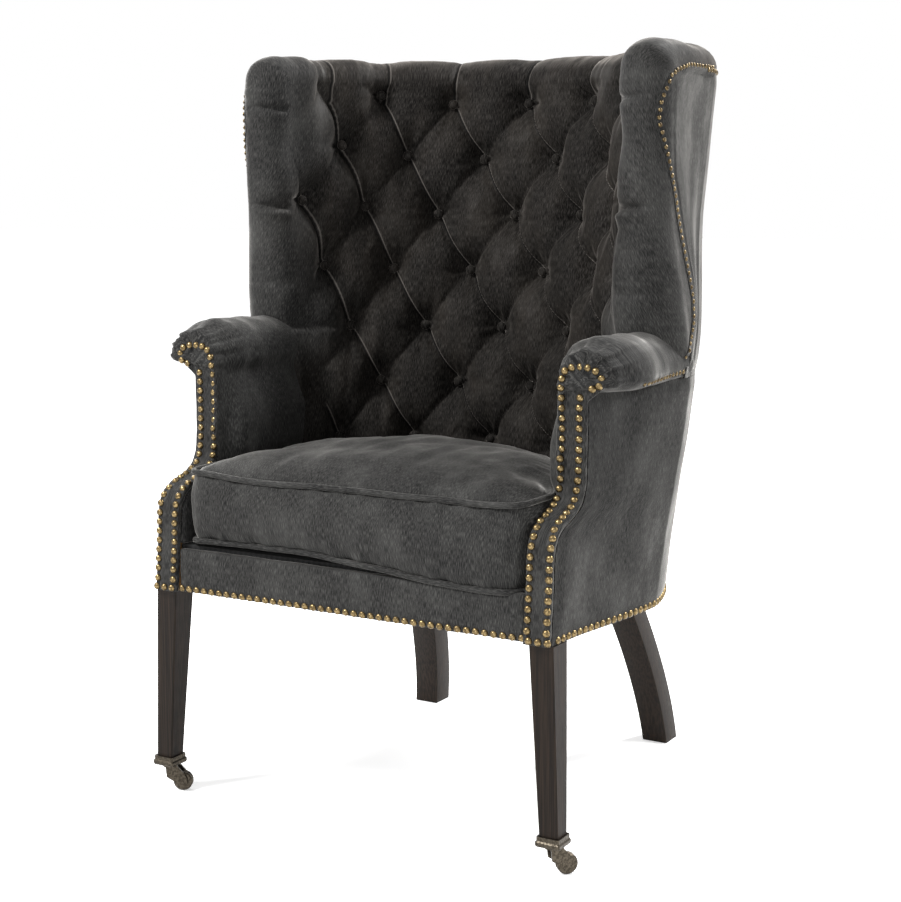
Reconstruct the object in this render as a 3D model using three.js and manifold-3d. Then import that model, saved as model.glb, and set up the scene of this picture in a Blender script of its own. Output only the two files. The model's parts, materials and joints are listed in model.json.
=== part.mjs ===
// Barrel-backed wing armchair with a button-tufted back, scroll-topped arms,
// a loose boxed seat cushion, sabre rear legs and two front casters.
// Millimetres, +Z up, front of the chair towards -Y, origin on the floor at the
// middle of the chair's plan. Left and right are the viewer's, facing the chair.
import * as THREE from "three";
import { mergeVertices } from "three/addons/utils/BufferGeometryUtils.js";
import Module from "manifold-3d";

const wasm = await Module();
wasm.setup();

// Clearances
const GAP = 0.3; // between pieces that rest on each other
const SKIN_GAP = 0.6; // between curved layers
const OVERRUN = 20; // how far a cutter passes its piece
const SAME_SPOT = 1e-4; // corners nearer than this are one corner

// Heights of the upholstered body
const BASE_Z = 322; // lower edge of the cloth
const RAIL_TOP_Z = 380;
const BAND_TOP_Z = 388; // top of the padded band under the cushion
const ARM_TOP_Z = 696;
const ARM_SEAM_Z = 652; // seam outside, under the arm roll
const PANEL_TOP_Z = 1096; // outside panels end here, under the crest
const CHAIR_TOP_Z = 1132;

// Plan of the outside: a half ellipse behind, easing in to the front corners
const BARREL_HALF = 367;
const ARM_FLARE = 17; // how much wider the body is at the arm tops
const WING_SLIM_Z = 900; // above this the flare has gone
const BARREL_LOW_Y = -118; // centre of the ellipse at the base
const BARREL_HIGH_Y = 87; // and at the top
const BARREL_LOW_DEPTH = 369;
const BARREL_HIGH_DEPTH = 250;
const FRONT_HALF = 333.5;

// Plan of the inside, at the depth of the buttons
const INNER_HALF = 300;
const INNER_DEPTH = 250;
const INNER_SEAT_Y = -157; // centre of the ellipse level with the seat cushion
const INNER_SEAT_Z = 500;
const INNER_TOP_Y = -19;
const INNER_TOP_Z = 1080;
const INNER_BELLY = 8; // forward bow of the back half way up

// Layers from the outside in
const PANEL_THICK = 2.6;
const FRAME_DEPTH = 27;
const BURLAP_THICK = 1.2;
const CREST_RAIL_HEIGHT = 48;
const TACK_RAIL_Z = 470;
const TACK_RAIL_HEIGHT = 44;
const BACKING_DEPTH = PANEL_THICK + SKIN_GAP + FRAME_DEPTH + SKIN_GAP + BURLAP_THICK;

// Tufting
const BUTTON_SPACING = 132;
const BUTTON_ROW_RISE = 90;
const TOP_BUTTON_Z = 1061;
const PUFF_HEIGHT = 28;
const SEAM_RISE = 8;
const COLUMN_STEP_SHARE = 0.25;
const PLEAT_SHARE = 0.11; // how deep the crest's pleats are, of its rise
const PAD_EDGE_Y = -50; // where the tufted pad meets arm and wing
const PAD_BOTTOM_Z = 392.5;
const EDGE_SHARE = 0.35; // what is left of the puffs at the edge of the pad

// Front of the arms, side view: the face of the facing strip
const FACE_BOTTOM_Y = -343;
const FACE_BEND_Y = -330;
const FACE_BEND_Z = 456;
const FACE_KNEE_Y = -314;
const FACE_KNEE_Z = 477;
const FACE_SLOPE_END_Y = -258;
const FACE_SLOPE_END_Z = 499;
const FACE_HEEL_Y = -243;
const FACE_HEEL_Z = 516;
const FACE_UPPER_Y = -238;
const FACING_THICK = 8;
const FACING_INNER_X = 294;
const FACING_OUTER_X = 334;
const SCROLL_OUTER_X = 372;
const SCROLL_LOW_Z = 646;
const SCROLL_SIDE_Z = 668;
const SCROLL_CORNER = 20;
const FACING_STEPS = 22;

// Arms
const POST_INNER_X = 300.2;
const POST_OUTER_X = 329.5;
const LOWER_POST_DEPTH = 56;
const UPPER_POST_DEPTH = 46;
const ARM_INNER_X = 290;
const ARM_PAD_THICK = 24;
const ARM_REAR_Y = -33;
const ARM_SWELL_SHARE = 0.12;
const ARM_RAIL_HEIGHT = 44;
const ROLL_HALF_WIDTH = 41;
const ROLL_HALF_HEIGHT = 28;
const ROLL_CROWN = 16; // how far the stuffing rises over the top of the facing
const ROLL_HOOK_Z = 655.5;

// Wing rolls
const WING_RADIUS = 36;
const WING_SLIM_X = 332;
const WING_ARM_X = 350;
const WING_Y = -40;
const WING_FOOT_Y = -44;
const WING_BEND_RADIUS = 52;
const WING_END_Y = 34;
const WING_BOTTOM_Z = 656;
const WING_WRAP_LOW = 66; // how far the roll reaches back outside, low down
const WING_WRAP_INNER = 30;
const WING_POST_STATIONS = 2;

// Seat
const WEB_THICK = 2;
const WEB_WIDTH = 50;
const WEAVE_LIFT = 0.6;
const RAIL_DEPTH = 44;
const DECK_INSET = 33;
const DUST_INSET = 14;
const DECK_FRONT_Y = -320;
const CUSHION_HALF = 284;
const CUSHION_FRONT_Y = -326;
const CUSHION_CENTRE_Y = -158;
const CUSHION_REAR_DEPTH = 230;
const CUSHION_CORNER = 26;
const CUSHION_BOX = 108; // from welt to welt
const CUSHION_CROWN = 38;
const CUSHION_PULL_IN = 7; // how far the sides draw in
const WELT_RADIUS = 4;

// Front band
const BAND_FACE_Y = -334;
const BAND_THICK = 12;
const BAND_CROWN = 4;
const BAND_COLUMN_SHARES = [-1, -0.95, -0.6, -0.2, 0.2, 0.6, 0.95, 1];
const RAIL_THICK = 24;

// Front legs and casters
const LEG_TOP_X = 318.5;
const LEG_TOP_Y = -314.5;
const LEG_X = 332; // at the foot: the legs lean out a little
const LEG_Y = -321;
const LEG_TOP_WIDTH = 37;
const LEG_TOP_DEPTH = 44;
const LEG_FOOT_WIDTH = 29;
const LEG_FOOT_Z = 52;
const CUP_FLANGE = 38;
const CUP_FLANGE_HEIGHT = 8;
const CUP_SLEEVE = 35;
const CUP_BOTTOM_Z = 43;
const CUP_HEIGHT = 14;
const CUP_CLEARANCE = 1; // between the foot and the cup, all round
const CUP_BEVEL = 2;
const WHEEL_RADIUS = 15;
const WHEEL_WIDTH = 13;
const WHEEL_BORE = 3;
const WHEEL_GROOVE = 1.2;
const AXLE_RADIUS = 2.6;
const CHEEK_THICK = 3;
const CHEEK_GAP = 0.5;
const TRAIL = 20;
const STEM_RADIUS = 4;
const STEM_BORE = 4.3;
const STEM_LENGTH = 7;
const HORN_TOP_RADIUS = 12;
const HORN_PLATE = 4;
const COARSE_SIDES = 20;
const FINE_SIDES = 28;
const WHEEL_SIDES = 32;
const RIGHT_HEADING = THREE.MathUtils.degToRad(47);
const LEFT_HEADING = THREE.MathUtils.degToRad(28);

// Rear legs
const REAR_TOP_X = 182;
const REAR_TOP_Y = 164;
const REAR_MID_X = 212;
const REAR_MID_Y = 280;
const REAR_MID_Z = 130;
const REAR_FOOT_X = 225;
const REAR_FOOT_Y = 292;
const REAR_TOP_SIZE = 49;
const REAR_FOOT_SIZE = 44;
const REAR_LEG_STEPS = 9;

const finishes = {
  velvet: { color: 0x3d3b39, roughness: 0.75, metalness: 0 },
  innerVelvet: { color: 0x34302e, roughness: 0.8, metalness: 0 },
  frameWood: { color: 0xb08a5b, roughness: 0.7, metalness: 0 },
  legWood: { color: 0x2b211c, roughness: 0.45, metalness: 0 },
  jute: { color: 0x9b8560, roughness: 0.9, metalness: 0 },
  lining: { color: 0x232222, roughness: 0.9, metalness: 0 },
  brass: { color: 0x7a6a4c, roughness: 0.35, metalness: 1 },
};

const chair = new THREE.Group();
chair.name = "wing_armchair";

// Small helpers
const lerp = THREE.MathUtils.lerp;
const smooth = (value, low, high) => THREE.MathUtils.smoothstep(value, low, high);
const QUARTER = Math.PI / 2;

function add(name, geometry, finish) {
  const mesh = new THREE.Mesh(geometry, new THREE.MeshStandardMaterial(finishes[finish]));
  mesh.name = name;
  chair.add(mesh);
  return mesh;
}

// A closed mesh from points and triangles, turned so that its faces point out
function closedMesh(points, triangles) {
  let volume = 0;
  for (let i = 0; i < triangles.length; i += 3) {
    const [a, b, c] = [points[triangles[i]], points[triangles[i + 1]], points[triangles[i + 2]]];
    volume += a[0] * (b[1] * c[2] - b[2] * c[1]);
    volume += a[1] * (b[2] * c[0] - b[0] * c[2]);
    volume += a[2] * (b[0] * c[1] - b[1] * c[0]);
  }
  const order = volume < 0 ? triangles.slice().reverse() : triangles;
  const geometry = new THREE.BufferGeometry();
  geometry.setAttribute("position", new THREE.Float32BufferAttribute(points.flat(), 3));
  geometry.setIndex(order);
  return geometry;
}

// Two facing grids of points, joined round their rims into one solid sheet
function thickSheet(front, back) {
  const rows = front.length;
  const columns = front[0].length;
  const points = [...front.flat(), ...back.flat()];
  const at = (side, i, j) => side * rows * columns + i * columns + j;
  const triangles = [];
  const quad = (a, b, c, d) => triangles.push(a, b, c, a, c, d);
  for (let i = 0; i < rows - 1; i++) {
    for (let j = 0; j < columns - 1; j++) {
      quad(at(0, i, j), at(0, i, j + 1), at(0, i + 1, j + 1), at(0, i + 1, j));
      quad(at(1, i, j), at(1, i + 1, j), at(1, i + 1, j + 1), at(1, i, j + 1));
    }
  }
  for (let i = 0; i < rows - 1; i++) {
    quad(at(0, i + 1, 0), at(1, i + 1, 0), at(1, i, 0), at(0, i, 0));
    const last = columns - 1;
    quad(at(0, i, last), at(1, i, last), at(1, i + 1, last), at(0, i + 1, last));
  }
  for (let j = 0; j < columns - 1; j++) {
    quad(at(0, 0, j), at(1, 0, j), at(1, 0, j + 1), at(0, 0, j + 1));
    const last = rows - 1;
    quad(at(0, last, j + 1), at(1, last, j + 1), at(1, last, j), at(0, last, j));
  }
  return closedMesh(points, triangles);
}

// Closed rings joined one to the next, with a fan over each end
function loft(rings) {
  const count = rings[0].length;
  const points = rings.flat();
  const triangles = [];
  for (let i = 0; i < rings.length - 1; i++) {
    for (let j = 0; j < count; j++) {
      const next = (j + 1) % count;
      const [a, b] = [i * count + j, i * count + next];
      triangles.push(a, b, b + count, a, b + count, a + count);
    }
  }
  const ends = [[rings[0], 0, true], [rings.at(-1), points.length - count, false]];
  for (const [ring, base, flip] of ends) {
    const centre = [0, 1, 2].map((k) => ring.reduce((sum, point) => sum + point[k], 0) / count);
    points.push(centre);
    for (let j = 0; j < count; j++) {
      const pair = [base + j, base + ((j + 1) % count)];
      triangles.push(...(flip ? pair.reverse() : pair), points.length - 1);
    }
  }
  return closedMesh(points, triangles);
}

const loopOf = (width, depth, corner = 0) => {
  const [w, d] = [width / 2, depth / 2];
  return [
    [w - corner, -d], [w, -d + corner], [w, d - corner], [w - corner, d],
    [-w + corner, d], [-w, d - corner], [-w, -d + corner], [-w + corner, -d],
  ];
};

// Flat outline in two axes, given a thickness along the third
function slab(outline, from, to, place) {
  const shape = new THREE.Shape(outline.map(([a, b]) => new THREE.Vector2(a, b)));
  const solid = new THREE.ExtrudeGeometry(shape, { depth: to - from, bevelEnabled: false });
  const position = solid.getAttribute("position");
  for (let i = 0; i < position.count; i++) {
    const spot = place(position.getX(i), position.getY(i), position.getZ(i) + from);
    position.setXYZ(i, ...spot);
  }
  return rejoined(solid);
}

const flatSlab = (outline, low, high) => slab(outline, low, high, (a, b, c) => [a, b, c]);
const sideSlab = (outline, from, to) => slab(outline, from, to, (a, b, c) => [c, a, b]);

// Positions alone, shared by the faces that meet there, and facing out
function rejoined(geometry) {
  const bare = geometry.clone();
  for (const name of Object.keys(bare.attributes)) {
    if (name !== "position") bare.deleteAttribute(name);
  }
  const merged = mergeVertices(bare.index ? bare.toNonIndexed() : bare, SAME_SPOT);
  const position = merged.getAttribute("position");
  const points = Array.from({ length: position.count }, (_, i) => [
    position.getX(i), position.getY(i), position.getZ(i),
  ]);
  return closedMesh(points, Array.from(merged.index.array));
}

function asManifold(geometry) {
  const joined = rejoined(geometry);
  return new wasm.Manifold(new wasm.Mesh({
    numProp: 3,
    vertProperties: new Float32Array(joined.getAttribute("position").array),
    triVerts: new Uint32Array(joined.index.array),
  }));
}

function asGeometry(manifold) {
  const mesh = manifold.getMesh();
  const geometry = new THREE.BufferGeometry();
  const points = [];
  for (let i = 0; i < mesh.vertProperties.length; i += mesh.numProp) {
    points.push(mesh.vertProperties[i], mesh.vertProperties[i + 1], mesh.vertProperties[i + 2]);
  }
  geometry.setAttribute("position", new THREE.Float32BufferAttribute(points, 3));
  geometry.setIndex(Array.from(mesh.triVerts));
  return geometry;
}

// The largest body that is left when cutters are taken from a piece
function cut(piece, ...cutters) {
  let solid = asManifold(piece);
  for (const cutter of cutters) solid = solid.subtract(asManifold(cutter));
  const bodies = solid.decompose().sort((a, b) => b.volume() - a.volume());
  return asGeometry(bodies[0]);
}

function join(...pieces) {
  const [first, ...others] = pieces.map(asManifold);
  return asGeometry(others.reduce((all, solid) => all.add(solid), first));
}

function mirrored(geometry) {
  const copy = geometry.clone();
  copy.scale(-1, 1, 1);
  return rejoined(copy);
}

function moved(geometry, x, y, z) {
  const copy = geometry.clone();
  copy.translate(x, y, z);
  return copy;
}

function addPair(name, rightGeometry, finish) {
  add(`${name}_right`, rightGeometry, finish);
  add(`${name}_left`, mirrored(rightGeometry), finish);
}

// Outside surface of the body
const heightShare = (z) => (z - BASE_Z) / (PANEL_TOP_Z - BASE_Z);
const barrelY = (z) => lerp(BARREL_LOW_Y, BARREL_HIGH_Y, heightShare(z));
const barrelDepth = (z) => lerp(BARREL_LOW_DEPTH, BARREL_HIGH_DEPTH, heightShare(z));

function barrelHalf(z) {
  const rising = smooth(z, BASE_Z, ARM_TOP_Z);
  const fading = 1 - smooth(z, ARM_TOP_Z, WING_SLIM_Z);
  return BARREL_HALF + ARM_FLARE * rising * fading;
}

// Inside surface at the depth of the buttons
function innerY(z) {
  const share = Math.max((z - INNER_SEAT_Z) / (INNER_TOP_Z - INNER_SEAT_Z), 0);
  const bow = Math.sin(Math.min(share, 1) * Math.PI);
  return lerp(INNER_SEAT_Y, INNER_TOP_Y, share) - INNER_BELLY * bow;
}

// Ellipse angle reached after an arc length from the middle of the back
const ARC_STEPS = 900;
const arcTable = [0];
for (let i = 1; i <= ARC_STEPS; i++) {
  const angle = ((i - 1 / 2) / ARC_STEPS) * QUARTER;
  const speed = Math.hypot(INNER_HALF * Math.cos(angle), INNER_DEPTH * Math.sin(angle));
  arcTable.push(arcTable[i - 1] + (speed * QUARTER) / ARC_STEPS);
}

function angleAtArc(arc) {
  const reached = arcTable.findIndex((length) => length >= Math.abs(arc));
  const index = reached < 0 ? ARC_STEPS : Math.max(reached, 1);
  const span = arcTable[index] - arcTable[index - 1];
  const part = Math.min((Math.abs(arc) - arcTable[index - 1]) / span, 1);
  return Math.sign(arc) * ((index - 1 + part) / ARC_STEPS) * QUARTER;
}

// Angles at which every curved layer has its corners, so that layers never cross
const STATION_STEP = BUTTON_SPACING * COLUMN_STEP_SHARE;
const SIDE_STATIONS = 12;
const stationAngles = [];
for (let i = -SIDE_STATIONS; i <= SIDE_STATIONS; i++) stationAngles.push(angleAtArc(i * STATION_STEP));

// Heights at which every curved layer has its corners, for the same reason
const BODY_STEPS = 9;
const bodyLevels = heights(BASE_Z, PANEL_TOP_Z, BODY_STEPS);

// Point that lies a depth in from the outside, at an angle round the back
function barrelPoint(angle, z, depth) {
  const place = heightShare(z) * BODY_STEPS;
  const below = THREE.MathUtils.clamp(Math.floor(place), 0, BODY_STEPS - 1);
  const [low, high] = [0, 1].map((k) => levelPoint(angle, bodyLevels[below + k], depth));
  return [lerp(low[0], high[0], place - below), lerp(low[1], high[1], place - below), z];
}

function levelPoint(angle, z, depth) {
  const outer = [barrelHalf(z) * Math.sin(angle), barrelY(z) + barrelDepth(z) * Math.cos(angle)];
  const inner = [INNER_HALF * Math.sin(angle), innerY(z) + INNER_DEPTH * Math.cos(angle)];
  const reach = Math.hypot(inner[0] - outer[0], inner[1] - outer[1]);
  return [0, 1].map((k) => outer[k] + ((inner[k] - outer[k]) / reach) * depth);
}

// Point on the side, in front of the barrel: share 0 at the barrel, 1 at the front
function sidePoint(share, z, depth, frontY) {
  const start = stationAngles.at(-1);
  const rear = barrelPoint(start, z, 0);
  const ease = share - Math.sin(2 * Math.PI * share) / (4 * Math.PI);
  const x = rear[0] - (rear[0] - FRONT_HALF) * ease;
  return [x - depth, lerp(rear[1], frontY, share), z];
}

const SIDE_SHARES = [0.2, 0.4, 0.6, 0.8, 1];
function heights(low, high, steps) {
  return Array.from({ length: steps + 1 }, (_, i) => lerp(low, high, i / steps));
}

function bodyHeights(low, high) {
  return [low, ...bodyLevels.filter((z) => z > low + SKIN_GAP && z < high - SKIN_GAP), high];
}

// The end points of a row drawn in along it by the clearance
function trimmed(row) {
  const draw = (end, next) => end.map((value, k) => lerp(value, next[k], GAP / STATION_STEP));
  return [draw(row[0], row[1]), ...row.slice(1, -1), draw(row.at(-1), row.at(-2))];
}

function barrelSheet(firstStation, lastStation, low, high, nearDepth, farDepth) {
  const angles = stationAngles.slice(firstStation + SIDE_STATIONS, lastStation + SIDE_STATIONS + 1);
  const row = (z, depth) => angles.map((angle) => barrelPoint(angle, z, depth));
  const grid = (depth) => bodyHeights(low, high).map((z) => row(z, depth));
  return thickSheet(grid(nearDepth), grid(farDepth));
}

// Path of the front face of an arm, seen from the side: lower part, slope, upper part
const facePath = new THREE.CatmullRomCurve3([
  [FACE_BOTTOM_Y, BASE_Z],
  [lerp(FACE_BOTTOM_Y, FACE_BEND_Y, 1 / 2), lerp(BASE_Z, FACE_BEND_Z, 1 / 2)],
  [FACE_BEND_Y, FACE_BEND_Z],
  [FACE_KNEE_Y, FACE_KNEE_Z],
  [FACE_SLOPE_END_Y, FACE_SLOPE_END_Z],
  [FACE_HEEL_Y, FACE_HEEL_Z],
  [FACE_UPPER_Y, lerp(FACE_HEEL_Z, SCROLL_LOW_Z, 1 / 3)],
  [FACE_UPPER_Y, ARM_TOP_Z],
].map(([y, z]) => new THREE.Vector3(0, y, z)), false, "centripetal");

function faceSpot(share, inset) {
  const spot = facePath.getPointAt(share);
  const along = facePath.getTangentAt(share);
  return [spot.y + along.z * inset, Math.max(spot.z - along.y * inset, BASE_Z)];
}

const faceShares = Array.from({ length: FACING_STEPS + 1 }, (_, i) => i / FACING_STEPS);

// How far forward the body reaches at a height, a distance behind the face
function faceY(z, inset) {
  const spots = faceShares.map((share) => faceSpot(share, inset));
  const upper = spots.findIndex((spot) => spot[1] >= z);
  if (upper < 1) return spots.at(upper < 0 ? -1 : 0)[0];
  const [before, after] = [spots[upper - 1], spots[upper]];
  return lerp(before[0], after[0], (z - before[1]) / (after[1] - before[1]));
}

// Outline of the scrolled facing at a height: a straight strip under a round head
function facingSides(z) {
  const rise = THREE.MathUtils.clamp((z - SCROLL_SIDE_Z) / (ARM_TOP_Z - SCROLL_SIDE_Z), -1, 1);
  const round = Math.sqrt(Math.max(1 - rise * rise, 0));
  const inner = z > SCROLL_SIDE_Z ? FACING_INNER_X + SCROLL_CORNER * (1 - round) : FACING_INNER_X;
  if (z < SCROLL_LOW_Z) return [inner, FACING_OUTER_X];
  const head = z > SCROLL_SIDE_Z ? round : smooth(z, SCROLL_LOW_Z - WELT_RADIUS, SCROLL_SIDE_Z);
  return [inner, lerp(FACING_OUTER_X, SCROLL_OUTER_X, head)];
}

function armFacing(grow = 0) {
  const columns = [0, 1 / 3, 2 / 3, 1];
  const grid = (inset) => faceShares.map((share) => {
    const [y, z] = faceSpot(share, inset);
    const [inner, outer] = facingSides(faceSpot(share, 0)[1]);
    return columns.map((part) => [lerp(inner - grow, outer + grow, part), y, z]);
  });
  return thickSheet(grid(-grow), grid(FACING_THICK + grow));
}

// Wooden post behind the facing, cut to the same steps
function armPost(grow = 0) {
  const inset = FACING_THICK + GAP - grow;
  const front = faceShares.map((share) => faceSpot(share, inset));
  const lower = front.filter(([, z]) => z > BASE_Z && z < ARM_SEAM_Z);
  const upperRear = FACE_UPPER_Y + FACING_THICK + GAP + UPPER_POST_DEPTH + grow;
  const lowerRear = FACE_BOTTOM_Y + FACING_THICK + GAP + LOWER_POST_DEPTH + grow;
  const kneeZ = FACE_BEND_Z - LOWER_POST_DEPTH / 2;
  const topZ = ROLL_HOOK_Z - WELT_RADIUS - SKIN_GAP;
  const outline = [
    [faceY(BASE_Z, inset), BASE_Z], ...lower.filter(([, z]) => z < topZ - WELT_RADIUS),
    [faceY(topZ, inset), topZ], [upperRear, topZ],
    [upperRear, kneeZ + LOWER_POST_DEPTH / 2], [lowerRear, kneeZ], [lowerRear, BASE_Z],
  ];
  return sideSlab(outline, POST_INNER_X - grow, POST_OUTER_X + grow);
}

// Inside arm: a padded face that rolls over the top and hooks under outside
function armPad(grow = 0) {
  const [inner, core] = [ARM_INNER_X - grow, ARM_INNER_X + ARM_PAD_THICK + grow];
  const rollX = ARM_INNER_X + ROLL_HALF_WIDTH;
  const rollZ = ARM_TOP_Z - ROLL_HALF_HEIGHT;
  const ARC_PARTS = 9;
  const LAST_ANGLE = THREE.MathUtils.degToRad(-26);
  const arc = Array.from({ length: ARC_PARTS + 1 }, (_, i) => {
    const angle = lerp(Math.PI, LAST_ANGLE, i / ARC_PARTS);
    const crown = ROLL_CROWN * Math.max(Math.sin(angle), 0);
    return [
      rollX + (ROLL_HALF_WIDTH + grow) * Math.cos(angle),
      rollZ + (ROLL_HALF_HEIGHT + crown + grow) * Math.sin(angle),
    ];
  });
  const hookX = FACING_OUTER_X + UPPER_POST_DEPTH / 4 - grow;
  const section = [
    [inner, PAD_BOTTOM_Z - grow], [inner, lerp(PAD_BOTTOM_Z, rollZ, 1 / 2)], ...arc,
    [hookX, ROLL_HOOK_Z - grow], [core, ROLL_HOOK_Z - WELT_RADIUS - grow], [core, PAD_BOTTOM_Z - grow],
  ];
  const front = Math.max(...faceShares.map((share) => faceSpot(share, FACING_THICK + GAP)[0])) - grow;
  const rear = ARM_REAR_Y + grow;
  const swell = (x, y) => {
    const back = (y - front) / (rear - front);
    return x < rollX ? x : rollX + (x - rollX) * (1 + ARM_SWELL_SHARE * back);
  };
  const upper = slab(section, front, rear, (x, z, y) => [swell(x, y), y, z]);
  const inset = FACING_THICK + GAP - grow;
  const onFace = faceShares.map((share) => faceSpot(share, inset));
  const skinFront = onFace.filter(([, z]) => z > PAD_BOTTOM_Z && z < ARM_SEAM_Z);
  const skinRear = FACE_UPPER_Y + FACING_THICK + UPPER_POST_DEPTH;
  const skin = sideSlab([
    [faceY(PAD_BOTTOM_Z, inset), PAD_BOTTOM_Z - grow], ...skinFront,
    [skinRear, skinFront.at(-1)[1]], [skinRear, PAD_BOTTOM_Z - grow],
  ], inner, POST_INNER_X - GAP + grow);
  return { upper, skin };
}

function armPadSolid(grow = 0) {
  const { upper, skin } = armPad(grow);
  const whole = join(upper, skin);
  return grow > 0 ? whole : cut(whole, armPost(GAP));
}

function outsideArm() {
  const inset = FACING_THICK + GAP;
  const levels = [
    BASE_Z, lerp(BASE_Z, FACE_BEND_Z, 1 / 2), FACE_BEND_Z - FACING_THICK, FACE_KNEE_Z - FACING_THICK,
    FACE_SLOPE_END_Z - FACING_THICK, FACE_HEEL_Z, lerp(FACE_HEEL_Z, ARM_SEAM_Z, 1 / 3),
    lerp(FACE_HEEL_Z, ARM_SEAM_Z, 2 / 3), ARM_SEAM_Z - GAP,
  ];
  const first = SEAM_STATION + SIDE_STATIONS;
  const grid = (depth) => levels.map((z) => [
    ...stationAngles.slice(first).map((angle) => barrelPoint(angle, z, depth)),
    ...SIDE_SHARES.map((share) => sidePoint(share, z, depth, faceY(z, inset))),
  ]);
  return cut(thickSheet(grid(0), grid(PANEL_THICK)), armFacing(GAP));
}

// Outside wing: from the side seam forward to the edge of the wing roll
const SEAM_STATION = 6;
const WING_LEVELS = 10;
function wingPanelFrontY(z) {
  const slim = smooth(z, ARM_TOP_Z, INNER_TOP_Z);
  return WING_Y + lerp(WING_WRAP_LOW, 0, slim) + SKIN_GAP;
}

function outsideWing(grow = 0) {
  const angles = stationAngles.slice(SEAM_STATION + SIDE_STATIONS);
  const grid = (depth) => bodyHeights(ARM_SEAM_Z + GAP, PANEL_TOP_Z).map((z) => [
    ...angles.map((angle) => barrelPoint(angle, z, depth)),
    ...[1 / 2, 1].map((share) => {
      const rear = barrelPoint(angles.at(-1), z, depth);
      const edge = Math.min(wingPanelFrontY(z), rear[1] - WELT_RADIUS / 4);
      return [rear[0], lerp(rear[1], edge, share), z];
    }),
  ]);
  return thickSheet(grid(-grow), grid(PANEL_THICK + grow));
}

// Wing roll: up the front edge of the wing and back over its top corner
const SECTION_ARC = 8;
function wingRoll(grow = 0) {
  const radius = WING_RADIUS + grow;
  const topZ = CHAIR_TOP_Z - WING_RADIUS;
  const bendZ = topZ - WING_BEND_RADIUS;
  const spots = [];
  for (const z of heights(WING_BOTTOM_Z - grow, bendZ, WING_LEVELS)) {
    const slim = smooth(z, ARM_TOP_Z, WING_SLIM_Z);
    spots.push({ x: lerp(WING_ARM_X, WING_SLIM_X, slim), y: lerp(WING_FOOT_Y, WING_Y, slim), z, turn: 0 });
  }
  const BEND_PARTS = 5;
  for (let i = 1; i <= BEND_PARTS; i++) {
    const turn = (i / BEND_PARTS) * QUARTER;
    spots.push({
      x: WING_SLIM_X,
      y: WING_Y + WING_BEND_RADIUS * (1 - Math.cos(turn)),
      z: bendZ + WING_BEND_RADIUS * Math.sin(turn),
      turn,
    });
  }
  spots.push({ x: WING_SLIM_X, y: WING_END_Y + grow, z: topZ, turn: QUARTER, slant: WING_WRAP_LOW });
  const rings = spots.map(({ x, y, z, turn, slant = 0 }) => {
    const wrap = lerp(WING_WRAP_LOW, WING_BEND_RADIUS / 4, smooth(z, ARM_TOP_Z, INNER_TOP_Z));
    const section = [];
    for (let i = 0; i <= SECTION_ARC; i++) {
      const angle = (i / SECTION_ARC) * Math.PI;
      section.push([radius * Math.cos(angle), -radius * Math.sin(angle)]);
    }
    const flat = WING_WRAP_INNER / 2 + grow;
    section.push([-radius, flat], [-flat, flat], [flat, flat]);
    section.push([radius - PANEL_THICK, wrap + grow], [radius, wrap + grow]);
    return section.map(([across, back]) => [
      x + across, y + back * Math.cos(turn) + slant * (across / radius + 1) / 2, z - back * Math.sin(turn),
    ]);
  });
  return loft(rings);
}

// Height of the stuffing over the button plane: puffs between the sewn seams
function puff(arc, z) {
  const column = arc / BUTTON_SPACING;
  const row = (TOP_BUTTON_Z - z) / BUTTON_ROW_RISE;
  const first = column + row / 2;
  const second = column - row / 2;
  const aboveTop = Math.max(-row, 0);
  const crossing = Math.abs(Math.sin(Math.PI * first) * Math.sin(Math.PI * second));
  const pleat = Math.abs(Math.sin(Math.PI * column));
  const swellOut = row < 0 ? lerp(crossing, pleat, Math.min(aboveTop * 2, 1)) : crossing;
  const onButton = (Math.cos(Math.PI * first) * Math.cos(Math.PI * second)) ** 2;
  const seam = SEAM_RISE * (1 - onButton);
  return seam + (PUFF_HEIGHT - SEAM_RISE) * Math.sqrt(swellOut);
}

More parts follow.
